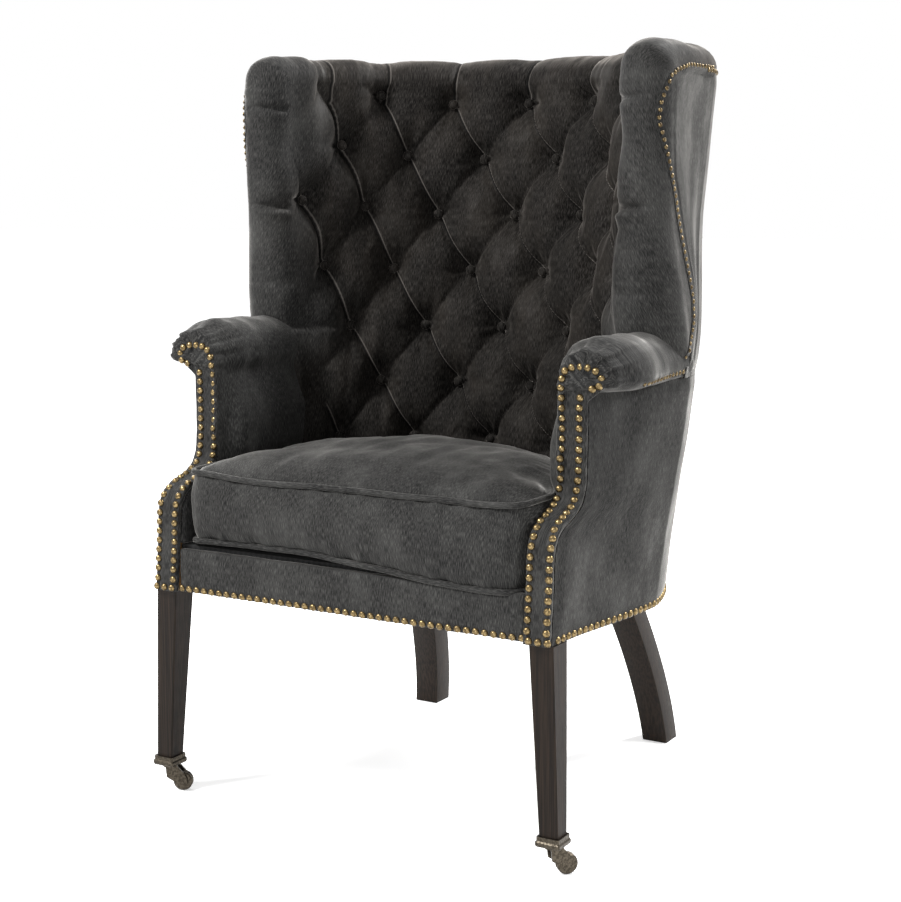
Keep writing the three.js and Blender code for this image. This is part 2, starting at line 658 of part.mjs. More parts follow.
// Tufted inside back: each section runs up the front, over the crest and down behind
const PAD_EDGE_COLUMNS = 5;
const CREST_PARTS = 4;
function tuftedPad() {
  const sideArc = (z) => {
    const level = THREE.MathUtils.clamp((PAD_EDGE_Y - innerY(z)) / INNER_DEPTH, 0, 1);
    const angle = Math.acos(level);
    return arcTable[Math.min(Math.round((angle / QUARTER) * ARC_STEPS), ARC_STEPS)];
  };
  const evenColumns = SIDE_STATIONS - PAD_EDGE_COLUMNS + 1;
  const columnArc = (index, z) => {
    const even = Math.abs(index);
    if (even <= evenColumns) return index * STATION_STEP;
    const part = (even - evenColumns) / (SIDE_STATIONS + 1 - evenColumns);
    return Math.sign(index) * lerp(evenColumns * STATION_STEP, sideArc(z), part);
  };
  const frontZ = [TOP_BUTTON_Z + BUTTON_ROW_RISE / 4];
  for (let z = TOP_BUTTON_Z; z > PAD_BOTTOM_Z + STATION_STEP / 2; z -= BUTTON_ROW_RISE / 2) frontZ.unshift(z);
  const backDepth = BACKING_DEPTH - WELT_RADIUS / 2;
  const rings = [];
  for (let index = -SIDE_STATIONS - 1; index <= SIDE_STATIONS + 1; index++) {
    const edge = Math.abs(index) > SIDE_STATIONS ? EDGE_SHARE : 1;
    const frontPoint = (z, fade) => {
      const arc = columnArc(index, z);
      const angle = angleAtArc(arc);
      const lift = puff(arc, z) * edge * fade;
      const normal = [Math.sin(angle) / INNER_HALF, Math.cos(angle) / INNER_DEPTH];
      const size = Math.hypot(...normal);
      return [
        INNER_HALF * Math.sin(angle) - (normal[0] / size) * lift,
        innerY(z) + INNER_DEPTH * Math.cos(angle) - (normal[1] / size) * lift,
        z,
      ];
    };
    const ring = [frontPoint(PAD_BOTTOM_Z, 0)];
    const fadeAt = (z) => smooth(z, INNER_SEAT_Z, INNER_SEAT_Z + BUTTON_ROW_RISE);
    for (const z of frontZ) ring.push(frontPoint(z, fadeAt(z)));
    const topFront = ring.at(-1);
    const angle = angleAtArc(columnArc(index, PANEL_TOP_Z));
    const backTop = barrelPoint(angle, PANEL_TOP_Z + GAP, -WELT_RADIUS / 4);
    for (let i = 1; i < CREST_PARTS; i++) {
      const share = i / CREST_PARTS;
      const across = (1 - Math.cos(share * Math.PI)) / 2;
      const crest = lerp(topFront[2], backTop[2], share);
      const onPleat = 1 - Math.abs(Math.sin(Math.PI * index * COLUMN_STEP_SHARE));
      const pleat = i * 2 === CREST_PARTS ? 1 : 1 - onPleat * PLEAT_SHARE;
      const rise = (CHAIR_TOP_Z - crest) * Math.sqrt(Math.sin(share * Math.PI)) * pleat;
      ring.push([lerp(topFront[0], backTop[0], across), lerp(topFront[1], backTop[1], across), crest + rise]);
    }
    ring.push(backTop, barrelPoint(angle, PANEL_TOP_Z + GAP, backDepth));
    for (const z of bodyHeights(PAD_BOTTOM_Z, PANEL_TOP_Z).slice(1, -1).reverse()) {
      ring.push(barrelPoint(angleAtArc(columnArc(index, z)), z, backDepth));
    }
    ring.push(barrelPoint(angleAtArc(columnArc(index, PAD_BOTTOM_Z)), PAD_BOTTOM_Z, backDepth));
    rings.push(ring);
  }
  const onFallingSeam = (i, j) => {
    const column = i - SIDE_STATIONS - 1;
    const row = frontZ.length - 1 - j;
    return (column - row + 4 * frontZ.length) % 4 === 3;
  };
  return ringSolid(rings, onFallingSeam);
}

// Rings of any outline, with their ends closed by the flat triangles of the outline.
// Each four-sided face is split along the diagonal that the leaning test picks.
function ringSolid(rings, leans) {
  const count = rings[0].length;
  const points = rings.flat();
  const triangles = [];
  for (let i = 0; i < rings.length - 1; i++) {
    for (let j = 0; j < count; j++) {
      const [a, b] = [i * count + j, i * count + ((j + 1) % count)];
      if (leans(i, j)) triangles.push(a, b, a + count, b, b + count, a + count);
      else triangles.push(a, b, b + count, a, b + count, a + count);
    }
  }
  const ends = [[rings[0], 0, false], [rings.at(-1), points.length - count, true]];
  for (const [ring, base, last] of ends) {
    const flat = ring.map(([, y, z]) => new THREE.Vector2(y, z));
    const facing = THREE.ShapeUtils.isClockWise(flat);
    for (const face of THREE.ShapeUtils.triangulateShape(facing ? flat.slice().reverse() : flat, [])) {
      const corners = face.map((k) => base + (facing ? count - 1 - k : k));
      const outward = facing === last ? corners.reverse() : corners;
      triangles.push(...outward);
    }
  }
  return closedMesh(points, triangles);
}

// Loose boxed cushion: crowned above, drawn in at the sides, welted round both edges
const CUSHION_SIDE_STEPS = 5;
const CUSHION_REAR_STEPS = 14;
const CROWN_STEPS = 7;
function cushionOutline(inset) {
  const half = CUSHION_HALF - inset;
  const front = CUSHION_FRONT_Y + inset;
  const corner = Math.max(CUSHION_CORNER - inset, WELT_RADIUS);
  const right = [[0, front], [half / 2, front]];
  const CORNER_STEPS = 3;
  for (let i = 0; i <= CORNER_STEPS; i++) {
    const turn = (i / CORNER_STEPS) * QUARTER;
    right.push([half - corner + corner * Math.sin(turn), front + corner - corner * Math.cos(turn)]);
  }
  for (let i = 1; i < CUSHION_SIDE_STEPS; i++) {
    right.push([half, lerp(front + corner, CUSHION_CENTRE_Y, i / CUSHION_SIDE_STEPS)]);
  }
  for (let i = 0; i <= CUSHION_REAR_STEPS; i++) {
    const turn = (i / CUSHION_REAR_STEPS) * QUARTER;
    right.push([half * Math.cos(turn), CUSHION_CENTRE_Y + (CUSHION_REAR_DEPTH - inset) * Math.sin(turn)]);
  }
  const left = right.slice(1, -1).reverse().map(([x, y]) => [-x, y]);
  return [...right, ...left];
}

function seatCushion() {
  const bottom = PAD_BOTTOM_Z + GAP;
  const weltLow = bottom + WELT_RADIUS;
  const weltHigh = weltLow + CUSHION_BOX;
  const levels = [
    [bottom, WELT_RADIUS * 2], [bottom, WELT_RADIUS], [weltLow, 0],
    [weltLow + WELT_RADIUS, WELT_RADIUS], [lerp(weltLow, weltHigh, 1 / 2), CUSHION_PULL_IN],
    [weltHigh - WELT_RADIUS, WELT_RADIUS], [weltHigh, 0],
  ];
  const rings = levels.map(([z, inset]) => cushionOutline(inset).map(([x, y]) => [x, y, z]));
  const middleY = (CUSHION_FRONT_Y + CUSHION_CENTRE_Y + CUSHION_REAR_DEPTH) / 2;
  for (let i = 1; i < CROWN_STEPS; i++) {
    const share = i / CROWN_STEPS;
    const z = weltHigh + CUSHION_CROWN * Math.sqrt(Math.sin(share * QUARTER));
    rings.push(rings[levels.length - 1].map(([x, y]) => [lerp(x, 0, share), lerp(y, middleY, share), z]));
  }
  return loft(rings);
}

// Seat frame
const railStations = 7;
const STILE_STATIONS = [3, 4];
function rearRail() {
  const near = PANEL_THICK + SKIN_GAP;
  return barrelSheet(-railStations, railStations, BASE_Z, RAIL_TOP_Z, near, near + RAIL_DEPTH);
}

function sideRail() {
  const near = PANEL_THICK + SKIN_GAP;
  const rearY = FACE_BOTTOM_Y + FACING_THICK + LOWER_POST_DEPTH + 2 * GAP;
  const angles = stationAngles.slice(railStations + SIDE_STATIONS);
  const levels = [BASE_Z, RAIL_TOP_Z];
  const grid = (depth) => levels.map((z) => [
    ...angles.map((angle) => barrelPoint(angle, z, depth)),
    ...SIDE_SHARES.map((share) => sidePoint(share, z, depth, rearY)),
  ]);
  const rail = thickSheet(grid(near), grid(near + RAIL_DEPTH));
  const [low, high] = [BASE_Z - OVERRUN, RAIL_TOP_Z + OVERRUN];
  const rear = barrelSheet(-railStations, railStations, low, high, 0, RAIL_DEPTH * 2);
  return cut(rail, moved(rear, GAP, -GAP, 0), armPost(GAP));
}

function frontRail() {
  const half = POST_INNER_X - GAP;
  const y = BAND_FACE_Y + BAND_THICK + GAP;
  const rear = y + RAIL_THICK;
  return flatSlab([[-half, y], [half, y], [half, rear], [-half, rear]], BASE_Z, RAIL_TOP_Z);
}

function outsideBack() {
  const angles = stationAngles.slice(SIDE_STATIONS - SEAM_STATION, SIDE_STATIONS + SEAM_STATION + 1);
  const grid = (depth) => bodyLevels.map((z) => trimmed(angles.map((angle) => barrelPoint(angle, z, depth))));
  return thickSheet(grid(0), grid(PANEL_THICK));
}

function frontBand() {
  const half = FACING_INNER_X - GAP;
  const columns = BAND_COLUMN_SHARES;
  const levels = heights(BASE_Z, BAND_TOP_Z, 4);
  const crown = (share, i) => (Math.abs(share) === 1 || i === 0 || i === levels.length - 1 ? 0 : BAND_CROWN);
  const front = levels.map((z, i) => (
    columns.map((share) => [share * half, BAND_FACE_Y - crown(share, i), z])
  ));
  const back = levels.map((z) => columns.map((share) => [share * half, BAND_FACE_Y + BAND_THICK, z]));
  return thickSheet(front, back);
}

function cornerBlock(x, y, inX, inY, size) {
  const block = flatSlab([[x, y], [x + inX * size, y], [x, y + inY * size]], BASE_Z, RAIL_TOP_Z);
  return cut(block, moved(sideRail(), -GAP, 0, 0), moved(sideRail(), 0, -GAP, 0));
}

// Plan of the body, a depth in from the outside, from the front right round to the left
function planOutline(depth, z, frontY) {
  const right = [];
  const rearAngles = stationAngles.slice(SIDE_STATIONS);
  for (const angle of rearAngles) right.unshift(barrelPoint(angle, z, depth).slice(0, 2));
  for (const share of SIDE_SHARES) right.unshift(sidePoint(share, z, depth, frontY).slice(0, 2));
  const left = right.slice(0, -1).reverse().map(([x, y]) => [-x, y]);
  return [...right, ...left];
}

// Woven seat webbing as one net, its straps lying on the rails
const WEB_COUNT = 4;
function seatWebbing() {
  const z = RAIL_TOP_Z + GAP;
  const front = BAND_FACE_Y + BAND_THICK + RAIL_THICK / 4;
  const straps = [];
  for (let i = 0; i < WEB_COUNT; i++) {
    const x = ((i - (WEB_COUNT - 1) / 2) / WEB_COUNT) * 2 * (CUSHION_HALF - WEB_WIDTH / 2);
    straps.push(rectangle(x - WEB_WIDTH / 2, x + WEB_WIDTH / 2, front, BARREL_HALF, z));
    const y = lerp(DECK_FRONT_Y + 2 * WEB_WIDTH, 2 * WEB_WIDTH, i / (WEB_COUNT - 1));
    const [near, far] = [y - WEB_WIDTH / 2, y + WEB_WIDTH / 2];
    straps.push(rectangle(-BARREL_HALF, BARREL_HALF, near, far, z + WEAVE_LIFT));
  }
  const inside = flatSlab(planOutline(DECK_INSET, z, front), z - OVERRUN, z + OVERRUN);
  return asGeometry(asManifold(join(...straps)).intersect(asManifold(inside)));
}

function rectangle(left, right, front, rear, z) {
  return flatSlab([[left, front], [right, front], [right, rear], [left, rear]], z, z + WEB_THICK);
}

function seatDeck() {
  const low = RAIL_TOP_Z + GAP + WEB_THICK + WEAVE_LIFT + GAP;
  const whole = flatSlab(planOutline(DECK_INSET, low, DECK_FRONT_Y), low, PAD_BOTTOM_Z - GAP);
  return cut(whole, armPost(SKIN_GAP), mirrored(armPost(SKIN_GAP)));
}

function dustCover() {
  const low = BASE_Z - GAP - WEB_THICK / 2;
  const front = BAND_FACE_Y + BAND_THICK + GAP;
  const sheet = flatSlab(planOutline(DUST_INSET, low, front), low, low + WEB_THICK / 2);
  const corner = loopOf(2 * LEG_TOP_DEPTH, 2 * LEG_TOP_DEPTH).map(([x, y]) => [LEG_TOP_X + x, LEG_TOP_Y + y]);
  const cutters = [rearLeg(2 * GAP), flatSlab(corner, low - OVERRUN, low + OVERRUN)];
  return cut(sheet, ...cutters, ...cutters.map(mirrored));
}

// Back frame: stiles, crest rail, tack rail and wing posts, all in one layer
function backStile() {
  const near = PANEL_THICK + SKIN_GAP;
  const high = PANEL_TOP_Z - CREST_RAIL_HEIGHT - GAP;
  return barrelSheet(...STILE_STATIONS, RAIL_TOP_Z + GAP, high, near, near + FRAME_DEPTH);
}

function crestRail() {
  const near = PANEL_THICK + SKIN_GAP;
  const last = SIDE_STATIONS - 1;
  const [low, high] = [PANEL_TOP_Z - CREST_RAIL_HEIGHT, PANEL_TOP_Z - GAP];
  return barrelSheet(-last, last, low, high, near, near + FRAME_DEPTH);
}

function tackRail() {
  const near = PANEL_THICK + SKIN_GAP;
  const last = STILE_STATIONS[0];
  const high = TACK_RAIL_Z + TACK_RAIL_HEIGHT;
  const rail = barrelSheet(-last, last, TACK_RAIL_Z, high, near, near + FRAME_DEPTH);
  return cut(rail, grownStile(), mirrored(grownStile()));
}

function grownStile() {
  const low = RAIL_TOP_Z - OVERRUN;
  const wide = barrelSheet(...STILE_STATIONS, low, PANEL_TOP_Z, 0, FRAME_DEPTH * 2);
  return join(moved(wide, GAP, 0, 0), moved(wide, -GAP, 0, 0));
}

function wingPost() {
  const near = PANEL_THICK + SKIN_GAP;
  const last = SIDE_STATIONS - 1;
  const high = PANEL_TOP_Z - CREST_RAIL_HEIGHT - GAP;
  return barrelSheet(last - WING_POST_STATIONS, last, RAIL_TOP_Z + GAP, high, near, near + FRAME_DEPTH);
}

function armRail() {
  const front = FACE_UPPER_Y + FACING_THICK + UPPER_POST_DEPTH + 2 * GAP;
  const high = ROLL_HOOK_Z - WELT_RADIUS - SKIN_GAP - GAP;
  const near = ARM_INNER_X + ARM_PAD_THICK + SKIN_GAP;
  const low = high - ARM_RAIL_HEIGHT;
  const outline = [[front, low], [ARM_REAR_Y, low], [ARM_REAR_Y, high], [front, high]];
  return sideSlab(outline, near, POST_OUTER_X);
}

// Everything behind the stuffing, for cutting the pad to it
function backingRoom() {
  const last = SIDE_STATIONS;
  const [low, high] = [PAD_BOTTOM_Z - OVERRUN, PANEL_TOP_Z + GAP / 2];
  return barrelSheet(-last, last, low, high, -OVERRUN, BACKING_DEPTH + GAP);
}

function burlap() {
  const near = PANEL_THICK + SKIN_GAP + FRAME_DEPTH + SKIN_GAP;
  const last = SIDE_STATIONS - 1;
  return barrelSheet(-last, last, PAD_BOTTOM_Z, PANEL_TOP_Z - GAP, near, near + BURLAP_THICK);
}

// Rear legs sweep back and slightly outwards to a square foot
function rearLeg(grow = 0) {
  const path = new THREE.QuadraticBezierCurve3(
    new THREE.Vector3(REAR_TOP_X, REAR_TOP_Y, BASE_Z - GAP),
    new THREE.Vector3(REAR_MID_X, REAR_MID_Y, REAR_MID_Z),
    new THREE.Vector3(REAR_FOOT_X, REAR_FOOT_Y, 0),
  );
  const rings = [];
  for (let i = 0; i <= REAR_LEG_STEPS; i++) {
    const spot = path.getPoint(i / REAR_LEG_STEPS);
    const size = lerp(REAR_TOP_SIZE, REAR_FOOT_SIZE, i / REAR_LEG_STEPS) + 2 * grow;
    rings.push(loopOf(size, size, CUP_BEVEL).map(([x, y]) => [spot.x + x, spot.y + y, spot.z]));
  }
  return loft(rings);
}

function frontLeg() {
  const foot = loopOf(LEG_FOOT_WIDTH, LEG_FOOT_WIDTH, CUP_BEVEL);
  const top = loopOf(LEG_TOP_WIDTH, LEG_TOP_DEPTH, CUP_BEVEL);
  return loft([
    foot.map(([x, y]) => [LEG_X + x, LEG_Y + y, LEG_FOOT_Z]),
    top.map(([x, y]) => [LEG_TOP_X + x, LEG_TOP_Y + y, BASE_Z - GAP]),
  ]);
}

function casterCup() {
  const flangeTop = CUP_BOTTOM_Z + CUP_FLANGE_HEIGHT;
  const levels = [
    [CUP_BOTTOM_Z, CUP_FLANGE - CUP_BEVEL], [CUP_BOTTOM_Z + CUP_BEVEL, CUP_FLANGE],
    [flangeTop - CUP_BEVEL, CUP_FLANGE], [flangeTop, CUP_SLEEVE], [CUP_BOTTOM_Z + CUP_HEIGHT, CUP_SLEEVE],
  ];
  const body = loft(levels.map(([z, size]) => loopOf(size, size, CUP_BEVEL).map(([x, y]) => [x, y, z])));
  const inside = LEG_FOOT_WIDTH + 2 * CUP_CLEARANCE;
  const pocket = loft([
    loopOf(inside, inside, 0).map(([x, y]) => [x, y, LEG_FOOT_Z - GAP]),
    loopOf(inside, inside, 0).map(([x, y]) => [x, y, CUP_BOTTOM_Z + CUP_HEIGHT + OVERRUN]),
  ]);
  const bore = standingCylinder(STEM_BORE, CUP_BOTTOM_Z - OVERRUN, LEG_FOOT_Z, FINE_SIDES);
  return cut(body, pocket, bore);
}

function standingCylinder(radius, low, high, sides) {
  const cylinder = new THREE.CylinderGeometry(radius, radius, high - low, sides);
  cylinder.rotateX(QUARTER);
  return moved(cylinder, 0, 0, (low + high) / 2);
}

function lyingCylinder(radius, width, sides) {
  return moved(new THREE.CylinderGeometry(radius, radius, width, sides), TRAIL, 0, WHEEL_RADIUS);
}

// Caster horn in its own frame: stem at the origin, wheel trailing along +X
function casterHorn() {
  const plateTop = CUP_BOTTOM_Z - GAP;
  const plate = standingCylinder(HORN_TOP_RADIUS, plateTop - HORN_PLATE, plateTop, FINE_SIDES);
  const stem = standingCylinder(STEM_RADIUS, plateTop - HORN_PLATE, plateTop + STEM_LENGTH, COARSE_SIDES);
  const inner = WHEEL_WIDTH / 2 + CHEEK_GAP;
  const hub = WHEEL_RADIUS / 2;
  const outline = [
    [-HORN_TOP_RADIUS / 2, plateTop - HORN_PLATE / 2], [HORN_TOP_RADIUS, plateTop - HORN_PLATE / 2],
    [TRAIL + hub / 2, WHEEL_RADIUS * 2 - CHEEK_THICK], [TRAIL + hub, WHEEL_RADIUS + hub / 2],
    [TRAIL + hub, WHEEL_RADIUS - hub / 2], [TRAIL + hub / 2, WHEEL_RADIUS - hub],
    [TRAIL - hub / 2, WHEEL_RADIUS - hub], [TRAIL - hub, WHEEL_RADIUS - hub / 3],
    [HORN_TOP_RADIUS / 3, WHEEL_RADIUS + hub / 3], [-HORN_TOP_RADIUS / 3, WHEEL_RADIUS + hub],
  ];
  const cheek = (from) => slab(outline, from, from + CHEEK_THICK, (a, b, c) => [a, c, b]);
  const arms = join(cheek(inner), cheek(-inner - CHEEK_THICK));
  const bridge = slab([
    [-HORN_TOP_RADIUS / 2, plateTop - HORN_PLATE], [HORN_TOP_RADIUS, plateTop - HORN_PLATE],
    [HORN_TOP_RADIUS, plateTop - HORN_PLATE / 4], [-HORN_TOP_RADIUS / 2, plateTop - HORN_PLATE / 4],
  ], -inner - CHEEK_THICK, inner + CHEEK_THICK, (a, b, c) => [a, c, b]);
  const whole = join(plate, stem, bridge, arms);
  return cut(whole, lyingCylinder(AXLE_RADIUS + GAP, 2 * OVERRUN, COARSE_SIDES));
}

function casterWheel() {
  const half = WHEEL_WIDTH / 2;
  const tread = WHEEL_RADIUS;
  const profile = [
    [WHEEL_BORE, -half], [tread - CUP_BEVEL, -half], [tread, -half + CUP_BEVEL],
    [tread, -half / 2], [tread - WHEEL_GROOVE, -half / 3], [tread, 0], [tread - WHEEL_GROOVE, half / 3],
    [tread, half / 2], [tread, half - CUP_BEVEL], [tread - CUP_BEVEL, half], [WHEEL_BORE, half],
    [WHEEL_BORE, -half],
  ];
  const wheel = new THREE.LatheGeometry(profile.map(([r, h]) => new THREE.Vector2(r, h)), WHEEL_SIDES);
  return rejoined(moved(wheel, TRAIL, 0, WHEEL_RADIUS));
}

function addCaster(side, x, heading) {
  const swing = (geometry) => {
    const copy = geometry.clone();
    copy.rotateZ(heading);
    return moved(copy, x, LEG_Y, 0);
  };
  const axleLength = WHEEL_WIDTH + 2 * (CHEEK_GAP + CHEEK_THICK) + CHEEK_GAP;
  add(`caster_cup_${side}`, moved(casterCup(), x, LEG_Y, 0), "brass");
  add(`caster_horn_${side}`, swing(casterHorn()), "brass");
  add(`caster_axle_${side}`, swing(lyingCylinder(AXLE_RADIUS, axleLength, COARSE_SIDES)), "brass");
  add(`caster_wheel_${side}`, swing(casterWheel()), "brass");
}

// Assembly: the wooden frame
add("front_seat_rail", frontRail(), "frameWood");
add("rear_seat_rail", rearRail(), "frameWood");
addPair("side_seat_rail", sideRail(), "frameWood");
const blockX = POST_INNER_X - 2 * GAP;
const blockY = BAND_FACE_Y + BAND_THICK + RAIL_THICK + 2 * GAP;
addPair("front_corner_block", cornerBlock(blockX, blockY, -1, 1, LOWER_POST_DEPTH), "frameWood");
addPair("arm_post", armPost(), "frameWood");
addPair("arm_rail", armRail(), "frameWood");
addPair("back_stile", backStile(), "frameWood");
addPair("wing_post", wingPost(), "frameWood");
add("crest_rail", crestRail(), "frameWood");
add("tack_rail", tackRail(), "frameWood");

// Seat suspension and linings
add("seat_webbing", seatWebbing(), "jute");
add("seat_deck", seatDeck(), "lining");
add("dust_cover", dustCover(), "lining");
add("back_burlap", burlap(), "jute");

// Upholstery
const armRight = armPadSolid();
const armRoom = armPadSolid(SKIN_GAP);
const wingRight = cut(wingRoll(), armRoom, outsideWing(SKIN_GAP));
const wingRoom = wingRoll(SKIN_GAP);
addPair("inside_arm", armRight, "velvet");
addPair("wing_roll", wingRight, "velvet");
const padCutters = [armRoom, mirrored(armRoom), wingRoom, mirrored(wingRoom), backingRoom()];
add("tufted_back", cut(tuftedPad(), ...padCutters), "innerVelvet");
addPair("arm_facing", armFacing(), "velvet");
addPair("outside_arm", outsideArm(), "velvet");
addPair("outside_wing", outsideWing(), "velvet");
add("outside_back", outsideBack(), "velvet");
add("front_band", frontBand(), "velvet");
add("seat_cushion", seatCushion(), "velvet");

// Legs and casters
addPair("front_leg", frontLeg(), "legWood");
addPair("rear_leg", rearLeg(), "legWood");
addCaster("right", LEG_X, RIGHT_HEADING);
addCaster("left", -LEG_X, LEFT_HEADING);

// The origin sits under the middle of the chair's plan
const crestRear = barrelPoint(0, PANEL_TOP_Z + GAP, -WELT_RADIUS / 4)[1];
chair.position.y = -(FACE_BOTTOM_Y + crestRear) / 2;

export default chair;
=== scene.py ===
"""Looks of a button-tufted wing armchair in charcoal velvet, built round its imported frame.

Metres, +Z up, front of the chair towards -Y, +X to the right of someone who faces it.
"""

import json
import math

import bmesh
import bpy
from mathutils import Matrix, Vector, noise
from mathutils.bvhtree import BVHTree

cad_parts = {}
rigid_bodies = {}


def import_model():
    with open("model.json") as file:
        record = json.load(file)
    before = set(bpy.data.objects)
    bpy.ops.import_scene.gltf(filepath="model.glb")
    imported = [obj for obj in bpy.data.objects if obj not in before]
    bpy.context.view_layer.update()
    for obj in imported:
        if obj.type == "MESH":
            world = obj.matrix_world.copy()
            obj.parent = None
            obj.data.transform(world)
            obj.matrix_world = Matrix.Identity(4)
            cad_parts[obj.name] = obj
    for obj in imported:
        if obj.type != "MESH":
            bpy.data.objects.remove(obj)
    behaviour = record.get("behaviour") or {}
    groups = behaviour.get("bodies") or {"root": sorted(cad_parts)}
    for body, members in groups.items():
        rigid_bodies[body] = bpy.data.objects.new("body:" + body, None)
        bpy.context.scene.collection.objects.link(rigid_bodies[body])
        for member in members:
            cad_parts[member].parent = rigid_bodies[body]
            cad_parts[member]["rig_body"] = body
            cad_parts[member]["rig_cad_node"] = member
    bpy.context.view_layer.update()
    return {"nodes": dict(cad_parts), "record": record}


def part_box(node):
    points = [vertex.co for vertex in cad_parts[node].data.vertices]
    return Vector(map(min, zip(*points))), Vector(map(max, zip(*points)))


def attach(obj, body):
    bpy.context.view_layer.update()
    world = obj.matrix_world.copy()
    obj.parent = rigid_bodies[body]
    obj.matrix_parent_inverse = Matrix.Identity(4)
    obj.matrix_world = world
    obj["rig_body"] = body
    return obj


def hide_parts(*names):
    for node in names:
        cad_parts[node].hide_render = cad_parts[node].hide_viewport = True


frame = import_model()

MM = 0.001
QUARTER = math.pi / 2

# Plan and heights of the body, as in the part's source
BASE_Z = 0.322
PAD_BOTTOM_Z = 0.3925
ARM_TOP_Z = 0.696
ARM_SEAM_Z = 0.652
PANEL_TOP_Z = 1.096
WING_SLIM_Z = 0.900
FACE_BOTTOM_Y = -0.343
PLAN_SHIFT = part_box("arm_facing_right")[0].y - FACE_BOTTOM_Y
BARREL_HALF = 0.367
ARM_FLARE = 0.017
BARREL_LOW_Y = -0.118
BARREL_HIGH_Y = 0.087
BARREL_LOW_DEPTH = 0.369
BARREL_HIGH_DEPTH = 0.250
FRONT_HALF = 0.3335
INNER_HALF = 0.300
INNER_DEPTH = 0.250
INNER_SEAT_Y = -0.157
INNER_SEAT_Z = 0.500
INNER_TOP_Y = -0.019
INNER_TOP_Z = 1.080
INNER_BELLY = 0.008
PANEL_THICK = 0.0026
SEAM_ARC = 0.198

# Tufting
BUTTON_SPACING = 0.132
ROW_RISE = 0.090
TOP_BUTTON_Z = 1.061
LAST_ROW = 6
PUFF_HEIGHT = 0.0270
SEAM_RISE = 0.0115
PUFF_FULLNESS = 0.40
BUTTON_SINK = 0.008
DIMPLE = 0.036
LIP_RISE = 0.0036
LIP_WIDTH = 0.0040
BUTTON_RADIUS = 0.0080
BUTTON_HEIGHT = 0.0052
BUTTON_PROUD = 0.0062
SEAM_SLOPE = math.hypot(1 / BUTTON_SPACING, 1 / (2 * ROW_RISE))
# How far the outer buttons are drawn up and in, in metres and as a share
DRAWN_UP = 0.026
DRAWN_IN = 0.07
# Where the cloth turns in above the arm, and how far
SHELF_Z = 0.701
ABOVE_ARM = 0.018

# Rolled edge of the back and the wings
EDGE_Y = -0.040
EDGE_REACH = 0.036
EDGE_CORNER = 0.016
EDGE_LOW_Z = 0.640

# Arms
ARM_INNER_X = 0.290
ARM_REAR_Y = -0.030
ROLL_HALF_WIDTH = 0.041
ROLL_HALF_HEIGHT = 0.028
ROLL_HOOK_Z = 0.6555
FACE_UPPER_Y = -0.238

# Cushion
CUSHION_HALF = 0.284
CUSHION_FRONT_Y = -0.326
CUSHION_CENTRE_Y = -0.158
CUSHION_REAR_DEPTH = 0.230
CUSHION_CORNER = 0.026
CUSHION_BOX = 0.108
CUSHION_CROWN = 0.038
WELT_RADIUS = 0.0042

# Nails
NAIL_RADIUS = 0.0055
NAIL_HEIGHT = 0.0042
NAIL_PITCH = 0.0141
SMALL_NAIL_RADIUS = 0.0036
SMALL_NAIL_HEIGHT = 0.0026
SMALL_NAIL_PITCH = 0.0105


def lerp(a, b, share):
    return a + (b - a) * share


def clamp(value, low=0.0, high=1.0):
    return max(low, min(high, value))


def smooth(value, low, high):
    share = clamp((value - low) / (high - low))
    return share * share * (3 - 2 * share)


def hump(value, centre, width):
    return math.exp(-(((value - centre) / width) ** 2))


def along(points, value, key=0, want=1):
    """Reads one coordinate of a line of points at a value of another."""
    rows = sorted(points, key=lambda point: point[key])
    if value <= rows[0][key]:
        return rows[0][want]
    for near, far in zip(rows, rows[1:]):
        if value <= far[key]:
            return lerp(near[want], far[want], (value - near[key]) / (far[key] - near[key]))
    return rows[-1][want]


# Surfaces of the body, as in the part's source

def height_share(z):
    return (z - BASE_Z) / (PANEL_TOP_Z - BASE_Z)


def barrel_half(z):
    rising = smooth(z, BASE_Z, ARM_TOP_Z)
    fading = 1 - smooth(z, ARM_TOP_Z, WING_SLIM_Z)
    return BARREL_HALF + ARM_FLARE * rising * fading


def inner_y(z):
    share = max((z - INNER_SEAT_Z) / (INNER_TOP_Z - INNER_SEAT_Z), 0)
    bow = math.sin(min(share, 1) * math.pi)
    return lerp(INNER_SEAT_Y, INNER_TOP_Y, share) - INNER_BELLY * bow


ARC_STEPS = 900
arc_table = [0.0]
for step in range(ARC_STEPS):
    turn = (step + 0.5) / ARC_STEPS * QUARTER
    pace = math.hypot(INNER_HALF * math.cos(turn), INNER_DEPTH * math.sin(turn))
    arc_table.append(arc_table[-1] + pace * QUARTER / ARC_STEPS)
QUARTER_ARC = arc_table[-1]


def angle_at_arc(arc):
    low, high = 0, ARC_STEPS
    while high - low > 1:
        middle = (low + high) // 2
        low, high = (middle, high) if arc_table[middle] < abs(arc) else (low, middle)
    part = clamp((abs(arc) - arc_table[low]) / (arc_table[high] - arc_table[low]))
    return math.copysign((low + part) / ARC_STEPS * QUARTER, arc)


def outer_point(angle, z, depth=0.0):
    share = height_share(z)
    centre = lerp(BARREL_LOW_Y, BARREL_HIGH_Y, share)
    reach = lerp(BARREL_LOW_DEPTH, BARREL_HIGH_DEPTH, share)
    outer = Vector((barrel_half(z) * math.sin(angle), centre + reach * math.cos(angle), z))
    inner = Vector((INNER_HALF * math.sin(angle), inner_y(z) + INNER_DEPTH * math.cos(angle), z))
    spot = outer + (inner - outer).normalized() * depth
    return spot + Vector((0, PLAN_SHIFT, 0))


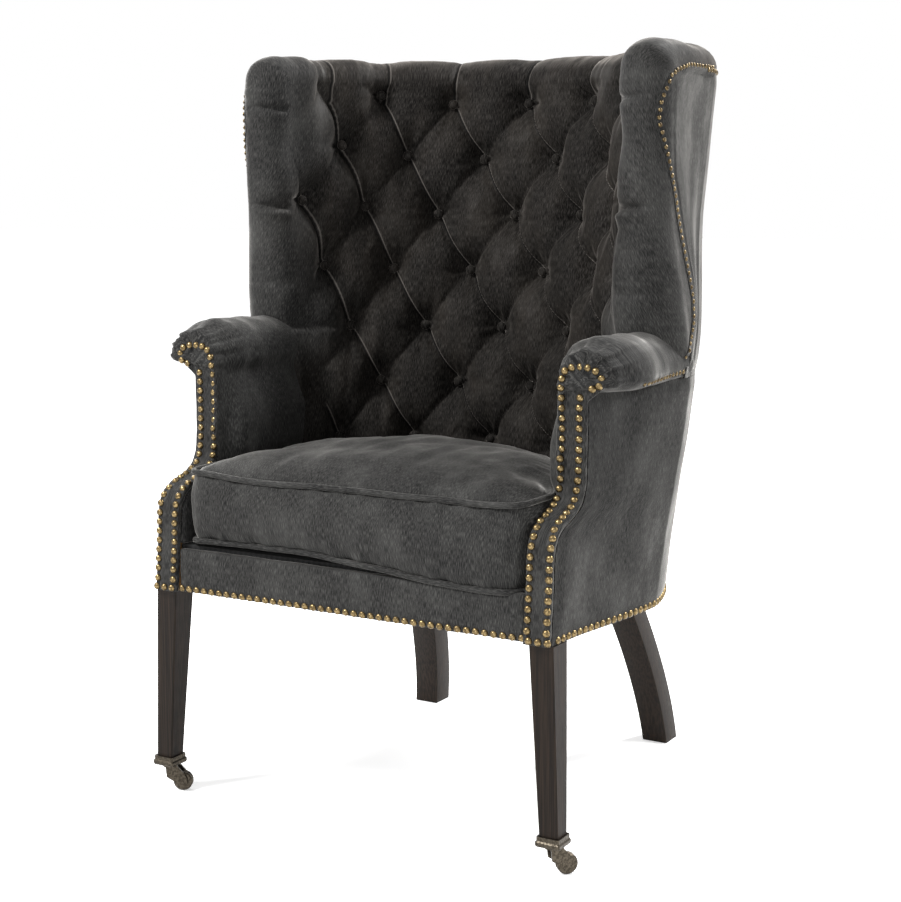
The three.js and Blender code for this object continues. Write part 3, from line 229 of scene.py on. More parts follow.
def inner_point(arc, z, lift=0.0):
    """A point of the inside back, a height off the button plane towards the sitter."""
    angle = angle_at_arc(arc)
    normal = Vector((math.sin(angle) / INNER_HALF, math.cos(angle) / INNER_DEPTH, 0)).normalized()
    past = max(abs(arc) - QUARTER_ARC, 0)
    y = inner_y(z) + INNER_DEPTH * math.cos(angle) - past + PLAN_SHIFT
    return Vector((INNER_HALF * math.sin(angle), y, z)) - normal * lift


def edge_arc(z):
    """Arc from the middle of the back to where the rolled edge of the wing starts."""
    level = (EDGE_Y - inner_y(z)) / INNER_DEPTH
    if level < 0:
        return QUARTER_ARC + inner_y(z) - EDGE_Y
    return arc_table[round(math.acos(min(level, 1)) / QUARTER * ARC_STEPS)]


# Making and finishing pieces

def deselect():
    if bpy.context.object and bpy.context.object.mode != "OBJECT":
        bpy.ops.object.mode_set(mode="OBJECT")
    bpy.ops.object.select_all(action="DESELECT")


def edit_whole():
    bpy.ops.object.mode_set(mode="EDIT")
    bpy.ops.mesh.select_all(action="SELECT")


def only(piece):
    deselect()
    piece.select_set(True)
    bpy.context.view_layer.objects.active = piece


def apply(piece, kind, **settings):
    """Adds a modifier with its settings and applies it."""
    only(piece)
    modifier = piece.modifiers.new(kind.lower(), kind)
    for name, value in settings.items():
        setattr(modifier, name, value)
    bpy.ops.object.modifier_apply(modifier=modifier.name)


def shade(piece, degrees=None):
    only(piece)
    if degrees is None:
        bpy.ops.object.shade_smooth()
    else:
        bpy.ops.object.shade_smooth_by_angle(angle=math.radians(degrees))


def cloth_sheet(name, columns, rows, spot, cloth):
    """A grid bent to spot(u, v), both from 0 to 1, with a cloth map in metres."""
    deselect()
    bpy.ops.mesh.primitive_grid_add(x_subdivisions=columns, y_subdivisions=rows, size=1)
    piece = bpy.context.object
    piece.name = piece.data.name = name
    shares = [(corner.co.x + 0.5, corner.co.y + 0.5) for corner in piece.data.vertices]
    paint = piece.data.uv_layers.active
    paint.name = "cloth"
    for loop in piece.data.loops:
        paint.data[loop.index].uv = cloth(*shares[loop.vertex_index])
    for corner, (u, v) in zip(piece.data.vertices, shares):
        corner.co = spot(u, v)
    return piece


def joined(name, pieces):
    only(pieces[0])
    for piece in pieces:
        piece.select_set(True)
    bpy.ops.object.join()
    whole = bpy.context.object
    whole.name = whole.data.name = name
    return whole


def twin(piece, name):
    """The mirrored copy of a right-hand piece for the left-hand side."""
    only(piece)
    bpy.ops.object.duplicate()
    copy = bpy.context.object
    copy.name = copy.data.name = name
    for corner in copy.data.vertices:
        corner.co.x = -corner.co.x
    edit_whole()
    bpy.ops.mesh.flip_normals()
    bpy.ops.object.mode_set(mode="OBJECT")
    return copy


def both(make, name, *facts):
    """Makes a right-hand piece and its mirrored twin."""
    right = make(f"{name}_right", *facts)
    return right, twin(right, f"{name}_left")


def merged_copy(node, name):
    """A joined-up copy of a solid of the frame, to be shaped into a new piece."""
    only(frame["nodes"][node])
    bpy.ops.object.duplicate()
    copy = bpy.context.object
    copy.name = copy.data.name = name
    copy.parent = None
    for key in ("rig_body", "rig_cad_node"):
        if key in copy:
            del copy[key]
    edit_whole()
    bpy.ops.mesh.remove_doubles(threshold=0.01 * MM)
    bpy.ops.object.mode_set(mode="OBJECT")
    return copy


def cloth_map(piece, flat):
    """Writes the cloth map of a piece, in metres, from each corner's place."""
    for layer in list(piece.data.uv_layers):
        piece.data.uv_layers.remove(layer)
    paint = piece.data.uv_layers.new(name="cloth")
    for loop in piece.data.loops:
        paint.data[loop.index].uv = flat(piece.data.vertices[loop.vertex_index].co)


def stuffed(node, name, voxel, rounds, flat, push=None):
    """Cloth over stuffing in the form of a frame solid: rounded off, then pushed out."""
    piece = merged_copy(node, name)
    only(piece)
    piece.data.remesh_voxel_size = voxel
    piece.data.use_remesh_preserve_volume = False
    bpy.ops.object.voxel_remesh()
    apply(piece, "SMOOTH", iterations=rounds, factor=0.5)
    if push:
        normals = [corner.normal.copy() for corner in piece.data.vertices]
        for corner, normal in zip(piece.data.vertices, normals):
            corner.co += push(corner.co, normal)
    cloth_map(piece, flat)
    shade(piece)
    return piece


def upholster(piece, finish, fill, slot, *nodes, body="root"):
    piece.data.materials.clear()
    piece.data.materials.append(finish)
    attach(piece, body)
    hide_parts(*nodes)


def fit(piece, finish, slot, *nodes, body="root"):
    piece.data.materials.clear()
    piece.data.materials.append(finish)
    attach(piece, body)
    if nodes:
        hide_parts(*nodes)


# Materials

def linear(code):
    """Hex sRGB to the linear colour that a shader takes."""
    parts = [int(code[i:i + 2], 16) / 255 for i in (1, 3, 5)]
    return [p / 12.92 if p <= 0.04045 else ((p + 0.055) / 1.055) ** 2.4 for p in parts] + [1.0]


def per_metre(millimetres):
    return 1000 / millimetres


def add_node(tree, kind, settings=None, **links):
    """One node with its settings, its inputs set to values or linked to sockets."""
    made = tree.nodes.new(kind)
    for name, value in (settings or {}).items():
        setattr(made, name, value)
    for name, value in links.items():
        socket = made.inputs[int(name[1:])] if name[1:].isdigit() else made.inputs[name.replace("_", " ")]
        if isinstance(value, bpy.types.NodeSocket):
            tree.links.new(value, socket)
        else:
            socket.default_value = value
    return made


def new_finish(name, **values):
    finish = bpy.data.materials.new(name)
    finish.use_nodes = True
    shader = finish.node_tree.nodes["Principled BSDF"]
    for key, value in values.items():
        shader.inputs[key.replace("_", " ")].default_value = value
    return finish, finish.node_tree, shader


SOFT_STEP = {"interpolation_type": "SMOOTHSTEP"}
COLOURS = {"data_type": "RGBA"}
DARKENED = {"data_type": "RGBA", "blend_type": "MULTIPLY"}
TIMES = {"operation": "MULTIPLY"}
PLUS = {"operation": "ADD"}

# Velvet's marks in millimetres across and along the cloth, with their detail
PILE_SIZES = {"slubs": (0.8, 9, 2.0), "picks": (14, 1.3, 2.0), "nap": (85, 130, 3.0), "streaks": (9, 60, 3.0)}
STREAK_SHARE = 0.22


def pile_marks(tree):
    """Noise at the sizes of velvet: slubs that run up it, picks across it, and its nap."""
    cloth = add_node(tree, "ShaderNodeUVMap", {"uv_map": "cloth"}).outputs["UV"]
    marks = {}
    for mark, (across, along_cloth, detail) in PILE_SIZES.items():
        size = (per_metre(across), per_metre(along_cloth), 1)
        placed = add_node(tree, "ShaderNodeMapping", None, Vector=cloth, Scale=size).outputs[0]
        marks[mark] = add_node(
            tree, "ShaderNodeTexNoise", None, Vector=placed, Scale=1.0, Detail=detail, Roughness=0.6
        ).outputs[0]
    faint = add_node(tree, "ShaderNodeMath", TIMES, i0=marks["streaks"], i1=STREAK_SHARE).outputs[0]
    laid = add_node(tree, "ShaderNodeMath", PLUS, i0=marks["nap"], i1=faint).outputs[0]
    return marks["slubs"], marks["picks"], laid


def fold_line(tree, offset, width):
    """1 on a line beside each fold of the tufting, at metres from it, and 0 elsewhere: the mask of the
    painted shade and painted highlight lines.
    """
    count = add_node(tree, "ShaderNodeAttribute", {"attribute_name": "falling_seam"}).outputs["Fac"]
    part = add_node(tree, "ShaderNodeMath", PLUS, i0=count, i1=0.5).outputs[0]
    part = add_node(tree, "ShaderNodeMath", {"operation": "FRACT"}, i0=part).outputs[0]
    middle = 0.5 + offset * SEAM_SLOPE
    part = add_node(tree, "ShaderNodeMath", {"operation": "SUBTRACT"}, i0=part, i1=middle).outputs[0]
    away = add_node(tree, "ShaderNodeMath", {"operation": "ABSOLUTE"}, i0=part).outputs[0]
    reach = width * SEAM_SLOPE
    line = add_node(
        tree, "ShaderNodeMapRange", SOFT_STEP, Value=away, From_Max=reach, To_Min=1.0, To_Max=0.0
    ).outputs[0]
    shown = add_node(tree, "ShaderNodeAttribute", {"attribute_name": "fold_share"}).outputs["Fac"]
    return add_node(tree, "ShaderNodeMath", TIMES, i0=line, i1=shown).outputs[0]


def pile_ground(tree, tones, worn, slub, laid):
    """Colour of the pile seen head on: patches as it lies, paler where its slubs are worn."""
    deep, pile, lit = tones
    patches = add_node(
        tree, "ShaderNodeMapRange", SOFT_STEP, Value=laid, From_Min=0.48, From_Max=0.84
    ).outputs[0]
    rubbed = add_node(
        tree, "ShaderNodeMapRange", SOFT_STEP, Value=slub, From_Min=0.40, From_Max=0.72, To_Max=worn
    ).outputs[0]
    ground = add_node(tree, "ShaderNodeMix", COLOURS, Factor=patches, i6=deep, i7=pile).outputs[2]
    return add_node(tree, "ShaderNodeMix", COLOURS, Factor=rubbed, i6=ground, i7=lit).outputs[2]


def pile_shine(tree, tones, slub, laid):
    """Colour of the bloom at a glancing view, combed by the slubs."""
    turned = add_node(
        tree, "ShaderNodeMapRange", SOFT_STEP, Value=laid, From_Min=0.42, From_Max=0.90, To_Min=0.35
    ).outputs[0]
    shine = add_node(tree, "ShaderNodeMix", COLOURS, Factor=turned, i6=tones[1], i7=tones[2]).outputs[2]
    combed = add_node(
        tree, "ShaderNodeMapRange", SOFT_STEP, Value=slub, From_Min=0.3, From_Max=0.65, To_Min=0.65
    ).outputs[0]
    return add_node(tree, "ShaderNodeMix", DARKENED, Factor=0.6, i6=shine, i7=combed).outputs[2]


def pile_relief(tree, slub, picks):
    """Small relief of the threads, with the tips of the pile on top."""
    threads = add_node(tree, "ShaderNodeMath", PLUS, i0=slub, i1=picks).outputs[0]
    relief = add_node(tree, "ShaderNodeBump", None, Strength=0.22, Distance=0.3 * MM, Height=threads)
    place = add_node(tree, "ShaderNodeTexCoord").outputs["Object"]
    tips = add_node(
        tree, "ShaderNodeTexNoise", None, Vector=place, Scale=per_metre(0.9), Detail=2.0
    ).outputs[0]
    return add_node(
        tree, "ShaderNodeBump", None, Strength=0.35, Distance=0.2 * MM, Height=tips, Normal=relief.outputs[0]
    ).outputs[0]


def velvet(name, field_tones, worn, wing_tones=None):
    """Cut velvet: short pile that is dark head on and pale at a glance, with fine slubs
    that run up the cloth and soft patches where the pile lies another way."""
    finish, tree, shader = new_finish(name, Roughness=0.68, Sheen_Weight=1.0, Sheen_Roughness=0.30)
    shader.inputs["Specular IOR Level"].default_value = 0.06
    tones = [linear(code) for code in field_tones]
    # Painted shade: where wing tones are given, the field keeps darker tones and the wing blends to its own
    if wing_tones:
        wing = add_node(tree, "ShaderNodeAttribute", {"attribute_name": "on_wing"}).outputs["Fac"]
        for number, code in enumerate(wing_tones):
            tones[number] = add_node(
                tree, "ShaderNodeMix", COLOURS, Factor=wing, i6=tones[number], i7=linear(code)
            ).outputs[2]
    slub, picks, laid = pile_marks(tree)
    ground = pile_ground(tree, tones, worn, slub, laid)
    shine = pile_shine(tree, tones, slub, laid)
    smoothed = add_node(
        tree, "ShaderNodeMapRange", SOFT_STEP,
        Value=laid, From_Min=0.55, From_Max=0.85, To_Min=0.75, To_Max=0.52,
    ).outputs[0]
    tree.links.new(ground, shader.inputs["Base Color"])
    tree.links.new(shine, shader.inputs["Sheen Tint"])
    tree.links.new(smoothed, shader.inputs["Roughness"])
    tree.links.new(pile_relief(tree, slub, picks), shader.inputs["Normal"])
    return finish, tree, shader, ground, shine


def drawn_velvet_with_painted_light(name, field_tones, wing_tones, worn):
    """The same velvet where it is drawn in by buttons, with painted shade: its tones are darker
    over the field, and each fold has a painted dark line of shade with a painted pale highlight beside it."""
    finish, tree, shader, ground, shine = velvet(name, field_tones, worn, wing_tones)
    paler = linear(field_tones[2])
    # Painted highlight: a pale line beside each fold, where the lip of the fold would catch the light
    edge = add_node(tree, "ShaderNodeMath", TIMES, i0=fold_line(tree, 0.0027, 0.0015), i1=0.17).outputs[0]
    # Painted shade: a dark line in each fold, in both the base colour and the sheen
    painted_crease_shade = add_node(tree, "ShaderNodeMath", TIMES, i0=fold_line(tree, -0.0004, 0.0030), i1=0.85).outputs[0]
    ground = add_node(tree, "ShaderNodeMix", COLOURS, Factor=edge, i6=ground, i7=paler).outputs[2]
    for socket, colour, shade_code in (("Base Color", ground, "#020202"), ("Sheen Tint", shine, "#050505")):
        painted_fold_shade = add_node(tree, "ShaderNodeMix", COLOURS, Factor=painted_crease_shade, i6=colour, i7=linear(shade_code))
        tree.links.new(painted_fold_shade.outputs[2], shader.inputs[socket])
    return finish


def aged_brass(name, bright, dark, least_bright):
    """Antiqued brass: brown in the hollows and rubbed yellow where hands have been."""
    finish, tree, shader = new_finish(name, Metallic=1.0, Roughness=0.34)
    place = add_node(tree, "ShaderNodeTexCoord").outputs["Object"]
    spots = add_node(
        tree, "ShaderNodeTexNoise", None, Vector=place, Scale=per_metre(3), Detail=4.0
    ).outputs[0]
    share = add_node(
        tree, "ShaderNodeMapRange", SOFT_STEP, Value=spots, From_Min=0.38, From_Max=0.62, To_Min=least_bright
    ).outputs[0]
    tones = add_node(tree, "ShaderNodeMix", COLOURS, Factor=share, i6=linear(dark), i7=linear(bright))
    rubbed = add_node(
        tree, "ShaderNodeMapRange", SOFT_STEP,
        Value=spots, From_Min=0.3, From_Max=0.7, To_Min=0.50, To_Max=0.28,
    ).outputs[0]
    dents = add_node(
        tree, "ShaderNodeTexNoise", None, Vector=place, Scale=per_metre(0.9), Detail=2.0
    ).outputs[0]
    relief = add_node(tree, "ShaderNodeBump", None, Strength=0.25, Distance=0.1 * MM, Height=dents)
    tree.links.new(tones.outputs[2], shader.inputs["Base Color"])
    tree.links.new(rubbed, shader.inputs["Roughness"])
    tree.links.new(relief.outputs[0], shader.inputs["Normal"])
    return finish


# Straight grain and open pores in millimetres across and along the wood, with their detail
WOOD_SIZES = ((2.6, 120, 5.0), (0.7, 14, 2.0))


def grained_wood(name, dark, light, rough, lift):
    """Straight-grained hardwood, its grain running up the piece, with fine open pores."""
    finish, tree, shader = new_finish(name, Roughness=rough)
    shader.inputs["Specular IOR Level"].default_value = 0.14
    place = add_node(tree, "ShaderNodeTexCoord").outputs["Object"]
    marks = []
    for across, along_grain, detail in WOOD_SIZES:
        size = (per_metre(across), per_metre(across), per_metre(along_grain))
        placed = add_node(tree, "ShaderNodeMapping", None, Vector=place, Scale=size).outputs[0]
        marks.append(add_node(
            tree, "ShaderNodeTexNoise", None, Vector=placed, Scale=1.0, Detail=detail
        ).outputs[0])
    grain, pores = marks
    share = add_node(
        tree, "ShaderNodeMapRange", SOFT_STEP, Value=grain, From_Min=0.34, From_Max=0.68
    ).outputs[0]
    tones = add_node(tree, "ShaderNodeMix", COLOURS, Factor=share, i6=linear(dark), i7=linear(light))
    gloss = add_node(
        tree, "ShaderNodeMapRange", SOFT_STEP,
        Value=pores, From_Min=0.3, From_Max=0.7, To_Min=rough + lift, To_Max=rough,
    ).outputs[0]
    relief = add_node(tree, "ShaderNodeBump", None, Strength=0.35, Distance=0.2 * MM, Height=pores)
    tree.links.new(tones.outputs[2], shader.inputs["Base Color"])
    tree.links.new(gloss, shader.inputs["Roughness"])
    tree.links.new(relief.outputs[0], shader.inputs["Normal"])
    return finish


def plain_weave(name, thread, dark, light):
    """Plain woven cloth, over and under, in threads of one width in millimetres."""
    finish, tree, shader = new_finish(name, Roughness=0.92)
    place = add_node(tree, "ShaderNodeTexCoord").outputs["Object"]
    waves = []
    for direction in ("X", "Y"):
        waves.append(add_node(
            tree, "ShaderNodeTexWave", {"bands_direction": direction}, Vector=place,
            Scale=per_metre(thread) / 20, Distortion=0.6,
        ).outputs[1])
    weave = add_node(tree, "ShaderNodeMath", TIMES, i0=waves[0], i1=waves[1]).outputs[0]
    tones = add_node(tree, "ShaderNodeMix", COLOURS, Factor=weave, i6=linear(dark), i7=linear(light))
    relief = add_node(tree, "ShaderNodeBump", None, Strength=0.4, Distance=0.3 * MM, Height=weave)
    tree.links.new(tones.outputs[2], shader.inputs["Base Color"])
    tree.links.new(relief.outputs[0], shader.inputs["Normal"])
    return finish


SMOOTH_TONES = ("#1e1e1e", "#323231", "#dad7d2")
SHADED_FIELD_TONES = ("#070605", "#1b1815", "#b5aea7")
WING_TONES = ("#1d1d1d", "#333332", "#dcd8d3")
# Smooth covers: dark grey, with a pale bloom where they turn away
outer_velvet = velvet("charcoal_cut_velvet", SMOOTH_TONES, 0.08)[0]
# The buttoned field: browner, and darker than the wings and covers as painted shade; nearly black between its
# soft highlights
tuft_velvet = drawn_velvet_with_painted_light("charcoal_cut_velvet_drawn_in", SHADED_FIELD_TONES, WING_TONES, 0.07)
# Nail heads: dull gold, dark round their rims
nail_brass = aged_brass("antiqued_brass_nails", "#83714f", "#3b3020", 0.30)
small_brass = aged_brass("tarnished_brass_nails", "#6a5c42", "#33291e", 0.2)
# Casters: cast metal gone grey brown
caster_brass = aged_brass("antiqued_brass_casting", "#4f4940", "#2a2620", 0.30)
# Legs: nearly black brown with a low gloss; the hidden frame: pale and dull
leg_wood = grained_wood("dark_stained_hardwood", "#110c08", "#261d16", 0.46, 0.12)
frame_wood = grained_wood("planed_beech", "#8d6a42", "#b58d5e", 0.62, 0.10)
# Webbing and burlap: coarse and straw brown; linings: plain black
jute = plain_weave("woven_jute", 3.0, "#6b5836", "#b39a6b")
lining = plain_weave("black_cotton_lining", 1.5, "#101010", "#262626")


# The tufted back and the rolled edge round it

def has_button(u, v):
    if v < 0 or v > LAST_ROW:
        return False
    if v % 2:
        return abs(u) <= (1.5 if v == 5 else 2.5)
    return abs(u) <= (3 if v == 2 else 2)


def drawn_share(u):
    return smooth(abs(u), 0.8, 3.0)


def lattice_place(arc, z):
    """Columns and rows of buttons at a place: the outer ones are drawn in and up."""
    u = arc / BUTTON_SPACING
    v = (TOP_BUTTON_Z - z) / ROW_RISE
    drawn = drawn_share(u)
    return u * (1 + DRAWN_IN * drawn), v + DRAWN_UP / ROW_RISE * drawn * (1 - smooth(v, 1.5, 4))


def drawn_place(u, v):
    """Where a button lands."""
    drawn = drawn_share(u)
    rise = DRAWN_UP * drawn * (1 - smooth(v, 1.5, 4))
    return u * BUTTON_SPACING / (1 + DRAWN_IN * drawn), TOP_BUTTON_Z - v * ROW_RISE + rise


def lattice_edge(v):
    """How far out the buttons reach at a row's height: a zigzag from row to row."""
    outer = [3, 2.5, 3, 2.5, 2, 2.15, 2.3]
    row = clamp(v, 0, LAST_ROW)
    low = min(int(row), LAST_ROW - 1)
    return lerp(outer[low], outer[low + 1], row - low)


def tuft_lift(arc, z):
    """Height of the cloth over the button plane at a place on the inside back."""
    u, v = lattice_place(arc, z)
    p, q = u + v / 2, u - v / 2
    crossing = abs(math.sin(math.pi * p) * math.sin(math.pi * q))
    upright = abs(math.sin(math.pi * u))
    over = smooth(-v, 0.0, 0.40)
    under = smooth(v - LAST_ROW, 0.0, 0.40)
    beside = smooth(abs(u) - lattice_edge(v), -0.05, 0.85)
    swell = lerp(crossing, upright, max(over, under))
    swell = lerp(swell, 0.40, beside)
    on_button = (math.cos(math.pi * p) * math.cos(math.pi * q)) ** 2
    seam = SEAM_RISE * (1 - on_button * (1 - max(over, under)))
    u0 = (round(p) + round(q)) / 2
    v0 = round(p) - round(q)
    across, up = (u - u0) * BUTTON_SPACING, (v0 - v) * ROW_RISE
    reach = math.hypot(across, up)
    calm = smooth(reach, -0.010, DIMPLE) if has_button(u0, v0) else 1.0
    rise = seam + (PUFF_HEIGHT - SEAM_RISE) * swell ** PUFF_FULLNESS * calm
    inside = (1 - over) * (1 - under) * (1 - beside)
    falling = (q - round(q)) / SEAM_SLOPE
    rise += LIP_RISE * hump(falling, 0.0050, LIP_WIDTH) * inside
    rise -= LIP_RISE * hump(falling, -0.0020, LIP_WIDTH) * inside
    if has_button(u0, v0):
        rise -= button_draw(across, up, u0, v0)
    rise -= ABOVE_ARM * math.exp(-max(z - SHELF_Z, 0) / 0.022) * smooth(z, SHELF_Z - 0.008, SHELF_Z) * beside
    crumple = noise.noise(Vector((arc / 0.034, z / 0.070, 3.0)))
    crumple += 0.6 * noise.noise(Vector((arc / 0.012, z / 0.045, 9.0)))
    return rise + 0.0015 * crumple


def button_draw(across, up, u0, v0):
    """How far a button draws in the cloth round it, with folds that fan out from it."""
    reach = math.hypot(across, up)
    heading = math.atan2(up, across)
    count = 9 + (int(2 * u0) * 3 + v0 * 5) % 5
    fan = 0.5 + 0.5 * math.cos(count * heading + u0 * 2.1 + v0)
    long_fold = 0.5 + 0.5 * math.cos(3 * heading + u0 * 4.3 + v0 * 1.7)
    near = smooth(reach, 0.004, 0.012)
    folds = 0.0082 * fan * math.exp(-reach / 0.020) + 0.0075 * long_fold**4 * math.exp(-reach / 0.038)
    pit = BUTTON_SINK * math.exp(-((reach / 0.021) ** 1.4))
    level = 0.0
    if abs(u0) == 3:
        outward = smooth(abs(across), 0.004, 0.015)
        level = 0.0055 * hump(up, 0.0, 0.0035) * outward * math.exp(-abs(across) / 0.05)
        level -= 0.0025 * hump(up, 0.009, 0.005) * outward * math.exp(-abs(across) / 0.05)
    return folds * near + pit + level


def edge_fade(arc, z):
    """The stuffing evens out towards the rolled edge and down behind the cushion."""
    side = 1 - 0.45 * smooth(abs(arc) - edge_arc(z), -0.060, 0.0)
    low = smooth(z, 0.455, 0.520)
    return side * low


def back_lift(arc, z):
    return tuft_lift(arc, z) * edge_fade(arc, z)


BACK_COLUMNS = 236
BACK_ROWS = 190
EDGE_PARTS = 16
WRAP_PARTS = 6

# Nails on the outside of the wing, listed from the photograph and placed with its fitted camera: y, z
WING_NAIL_LINE = [
    (0.1095, 1.098), (0.0210, 1.097), (-0.0230, 1.088), (-0.0460, 1.078), (-0.0620, 1.045),
    (-0.0650, 1.016), (-0.0550, 0.983), (-0.0415, 0.946), (-0.0215, 0.904), (-0.0100, 0.871),
    (0.0030, 0.828), (0.0120, 0.795), (0.0180, 0.765), (0.0150, 0.734), (0.0080, 0.718),
    (-0.0100, 0.680),
]


def wing_edge_y(z):
    return along(WING_NAIL_LINE, z, key=1, want=0)


def from_corner(arc, z):
    """How far a place is in to the upper corner, across and up, each from 0 to 1."""
    across = clamp((abs(arc) - (edge_arc(z) - EDGE_CORNER)) / EDGE_CORNER)
    up = clamp((z - (PANEL_TOP_Z - EDGE_CORNER)) / EDGE_CORNER)
    return across, up


def rounded_spot(arc, z):
    """Draws the upper corners of the inside back in to a curve."""
    across, up = from_corner(arc, z)
    if across <= 0 or up <= 0:
        return arc, z
    share = max(across, up) / math.hypot(across, up)
    new_arc = edge_arc(z) - EDGE_CORNER + across * share * EDGE_CORNER
    return math.copysign(new_arc, arc), PANEL_TOP_Z - EDGE_CORNER + up * share * EDGE_CORNER


HIDDEN_SHARE = 0.09
HIDDEN_Z = 0.490


def row_height(v):
    """Rows lie close together up to the top, and further apart behind the cushion."""
    if v < HIDDEN_SHARE:
        return lerp(PAD_BOTTOM_Z, HIDDEN_Z, v / HIDDEN_SHARE)
    return lerp(HIDDEN_Z, PANEL_TOP_Z, (v - HIDDEN_SHARE) / (1 - HIDDEN_SHARE))


def back_place(u, v):
    z = row_height(v)
    return (2 * u - 1) * edge_arc(z), z


def back_spot(u, v):
    arc, z = rounded_spot(*back_place(u, v))
    return inner_point(arc, z, back_lift(arc, z))


def room_behind(plain, normal, z):
    """Distance from the inside back to the outside of the body, straight through."""
    share = height_share(z)
    centre = lerp(BARREL_LOW_Y, BARREL_HIGH_Y, share) + PLAN_SHIFT
    reach = lerp(BARREL_LOW_DEPTH, BARREL_HIGH_DEPTH, share)
    low, high = 0.0, 0.3
    while high - low > 0.01 * MM:
        middle = (low + high) / 2
        spot = plain + normal * middle
        past = (spot.x / barrel_half(z)) ** 2 + (max(spot.y - centre, 0) / reach) ** 2
        low, high = (middle, high) if past < 1 else (low, middle)
    return low + 0.0008


def edge_spot(u, v, part):
    """A corner of the rolled edge: part 0 is the inside back, 1 the far side of the roll."""
    arc, z = back_place(u, v)
    across, up = from_corner(arc, z)
    forward, up = across / math.hypot(across, up), up / math.hypot(across, up)
    arc, z = rounded_spot(arc, z)
    side = math.copysign(1, arc)
    angle = angle_at_arc(arc)
    normal = Vector((math.sin(angle) / INNER_HALF, math.cos(angle) / INNER_DEPTH, 0)).normalized()
    ahead = Vector((math.cos(angle) * INNER_HALF, -math.sin(angle) * INNER_DEPTH, 0)).normalized() * side
    climb = (inner_point(arc, z + MM) - inner_point(arc, z - MM)).normalized()
    out = (ahead * forward + climb * up).normalized()
    plain = inner_point(arc, z)
    low = lerp(smooth(z, EDGE_LOW_Z, EDGE_LOW_Z + 0.05), 1, up)
    reach = EDGE_REACH * lerp(0.2, 1, low)
    half = room_behind(plain, normal, z) / 2 * lerp(0.45, 1, low)
    turn = part * math.pi
    radial = -normal * math.cos(turn) + out * math.sin(turn)
    ease = lerp(1.0, 0.12, smooth(part, 0.0, 0.55)) * (1 - smooth(part, 0.6, 1.0))
    rise = back_lift(arc, z) * ease
    rise += 0.0016 * noise.noise(Vector((plain.x / 0.05, plain.y / 0.05, z / 0.09))) * math.sin(turn)
    if forward > 0.5:
        for level, depth, width in WING_FOLDS:
            rise -= depth * hump(z, level + 0.010 * part, width) * (1 - smooth(part, 0.30, 0.75))
        rise += 0.0011 * math.cos(z / 0.0028) * smooth(z, 1.045, 1.08) * math.sin(turn)
    return plain + normal * half * (1 - math.cos(turn)) + out * reach * math.sin(turn) + radial * rise


# Folds that run over the front of the wing: height, depth, half width
WING_FOLDS = [
    (0.893, 0.0090, 0.0048),
    (0.882, -0.0045, 0.0070),
    (1.047, 0.0080, 0.0045),
    (0.772, 0.0030, 0.0070),
]


def wrap_spot(u, v, part):
    """The cloth's run from the far side of the roll to under the line of nails."""
    across, up = from_corner(*back_place(u, v))
    start = edge_spot(u, v, 1.0)
    run = max(wing_edge_y(start.z) + 0.012 - start.y, 0.003)
    if start.z < ARM_SEAM_Z + 0.03:
        run = 0.003
    return start + Vector((0, run * across * (1 - up) * part, -0.006 * up * part))


def on_wing(arc, z):
    """0 in the buttoned field and 1 on the smooth wing, for the finish: the field keeps its tones of painted
    shade, the wing takes its own.
    """
    u, v = lattice_place(arc, min(z, TOP_BUTTON_Z))
    return smooth(abs(u) - lattice_edge(v), -0.3, 1.0) * smooth(z, 0.60, 0.72)


def falling_seam(arc, z):
    """For the painted shade and highlight lines of the finish: a count that is whole on each fold, and how
    far the fold shows there.
    """
    low = TOP_BUTTON_Z - (LAST_ROW + 0.2) * ROW_RISE
    u, v = lattice_place(arc, clamp(z, low, TOP_BUTTON_Z))
    shown = 1 - smooth(abs(u) - lattice_edge(v), 0.02, 0.12)
    return u - v / 2, shown * smooth(z, low - 0.01, low)


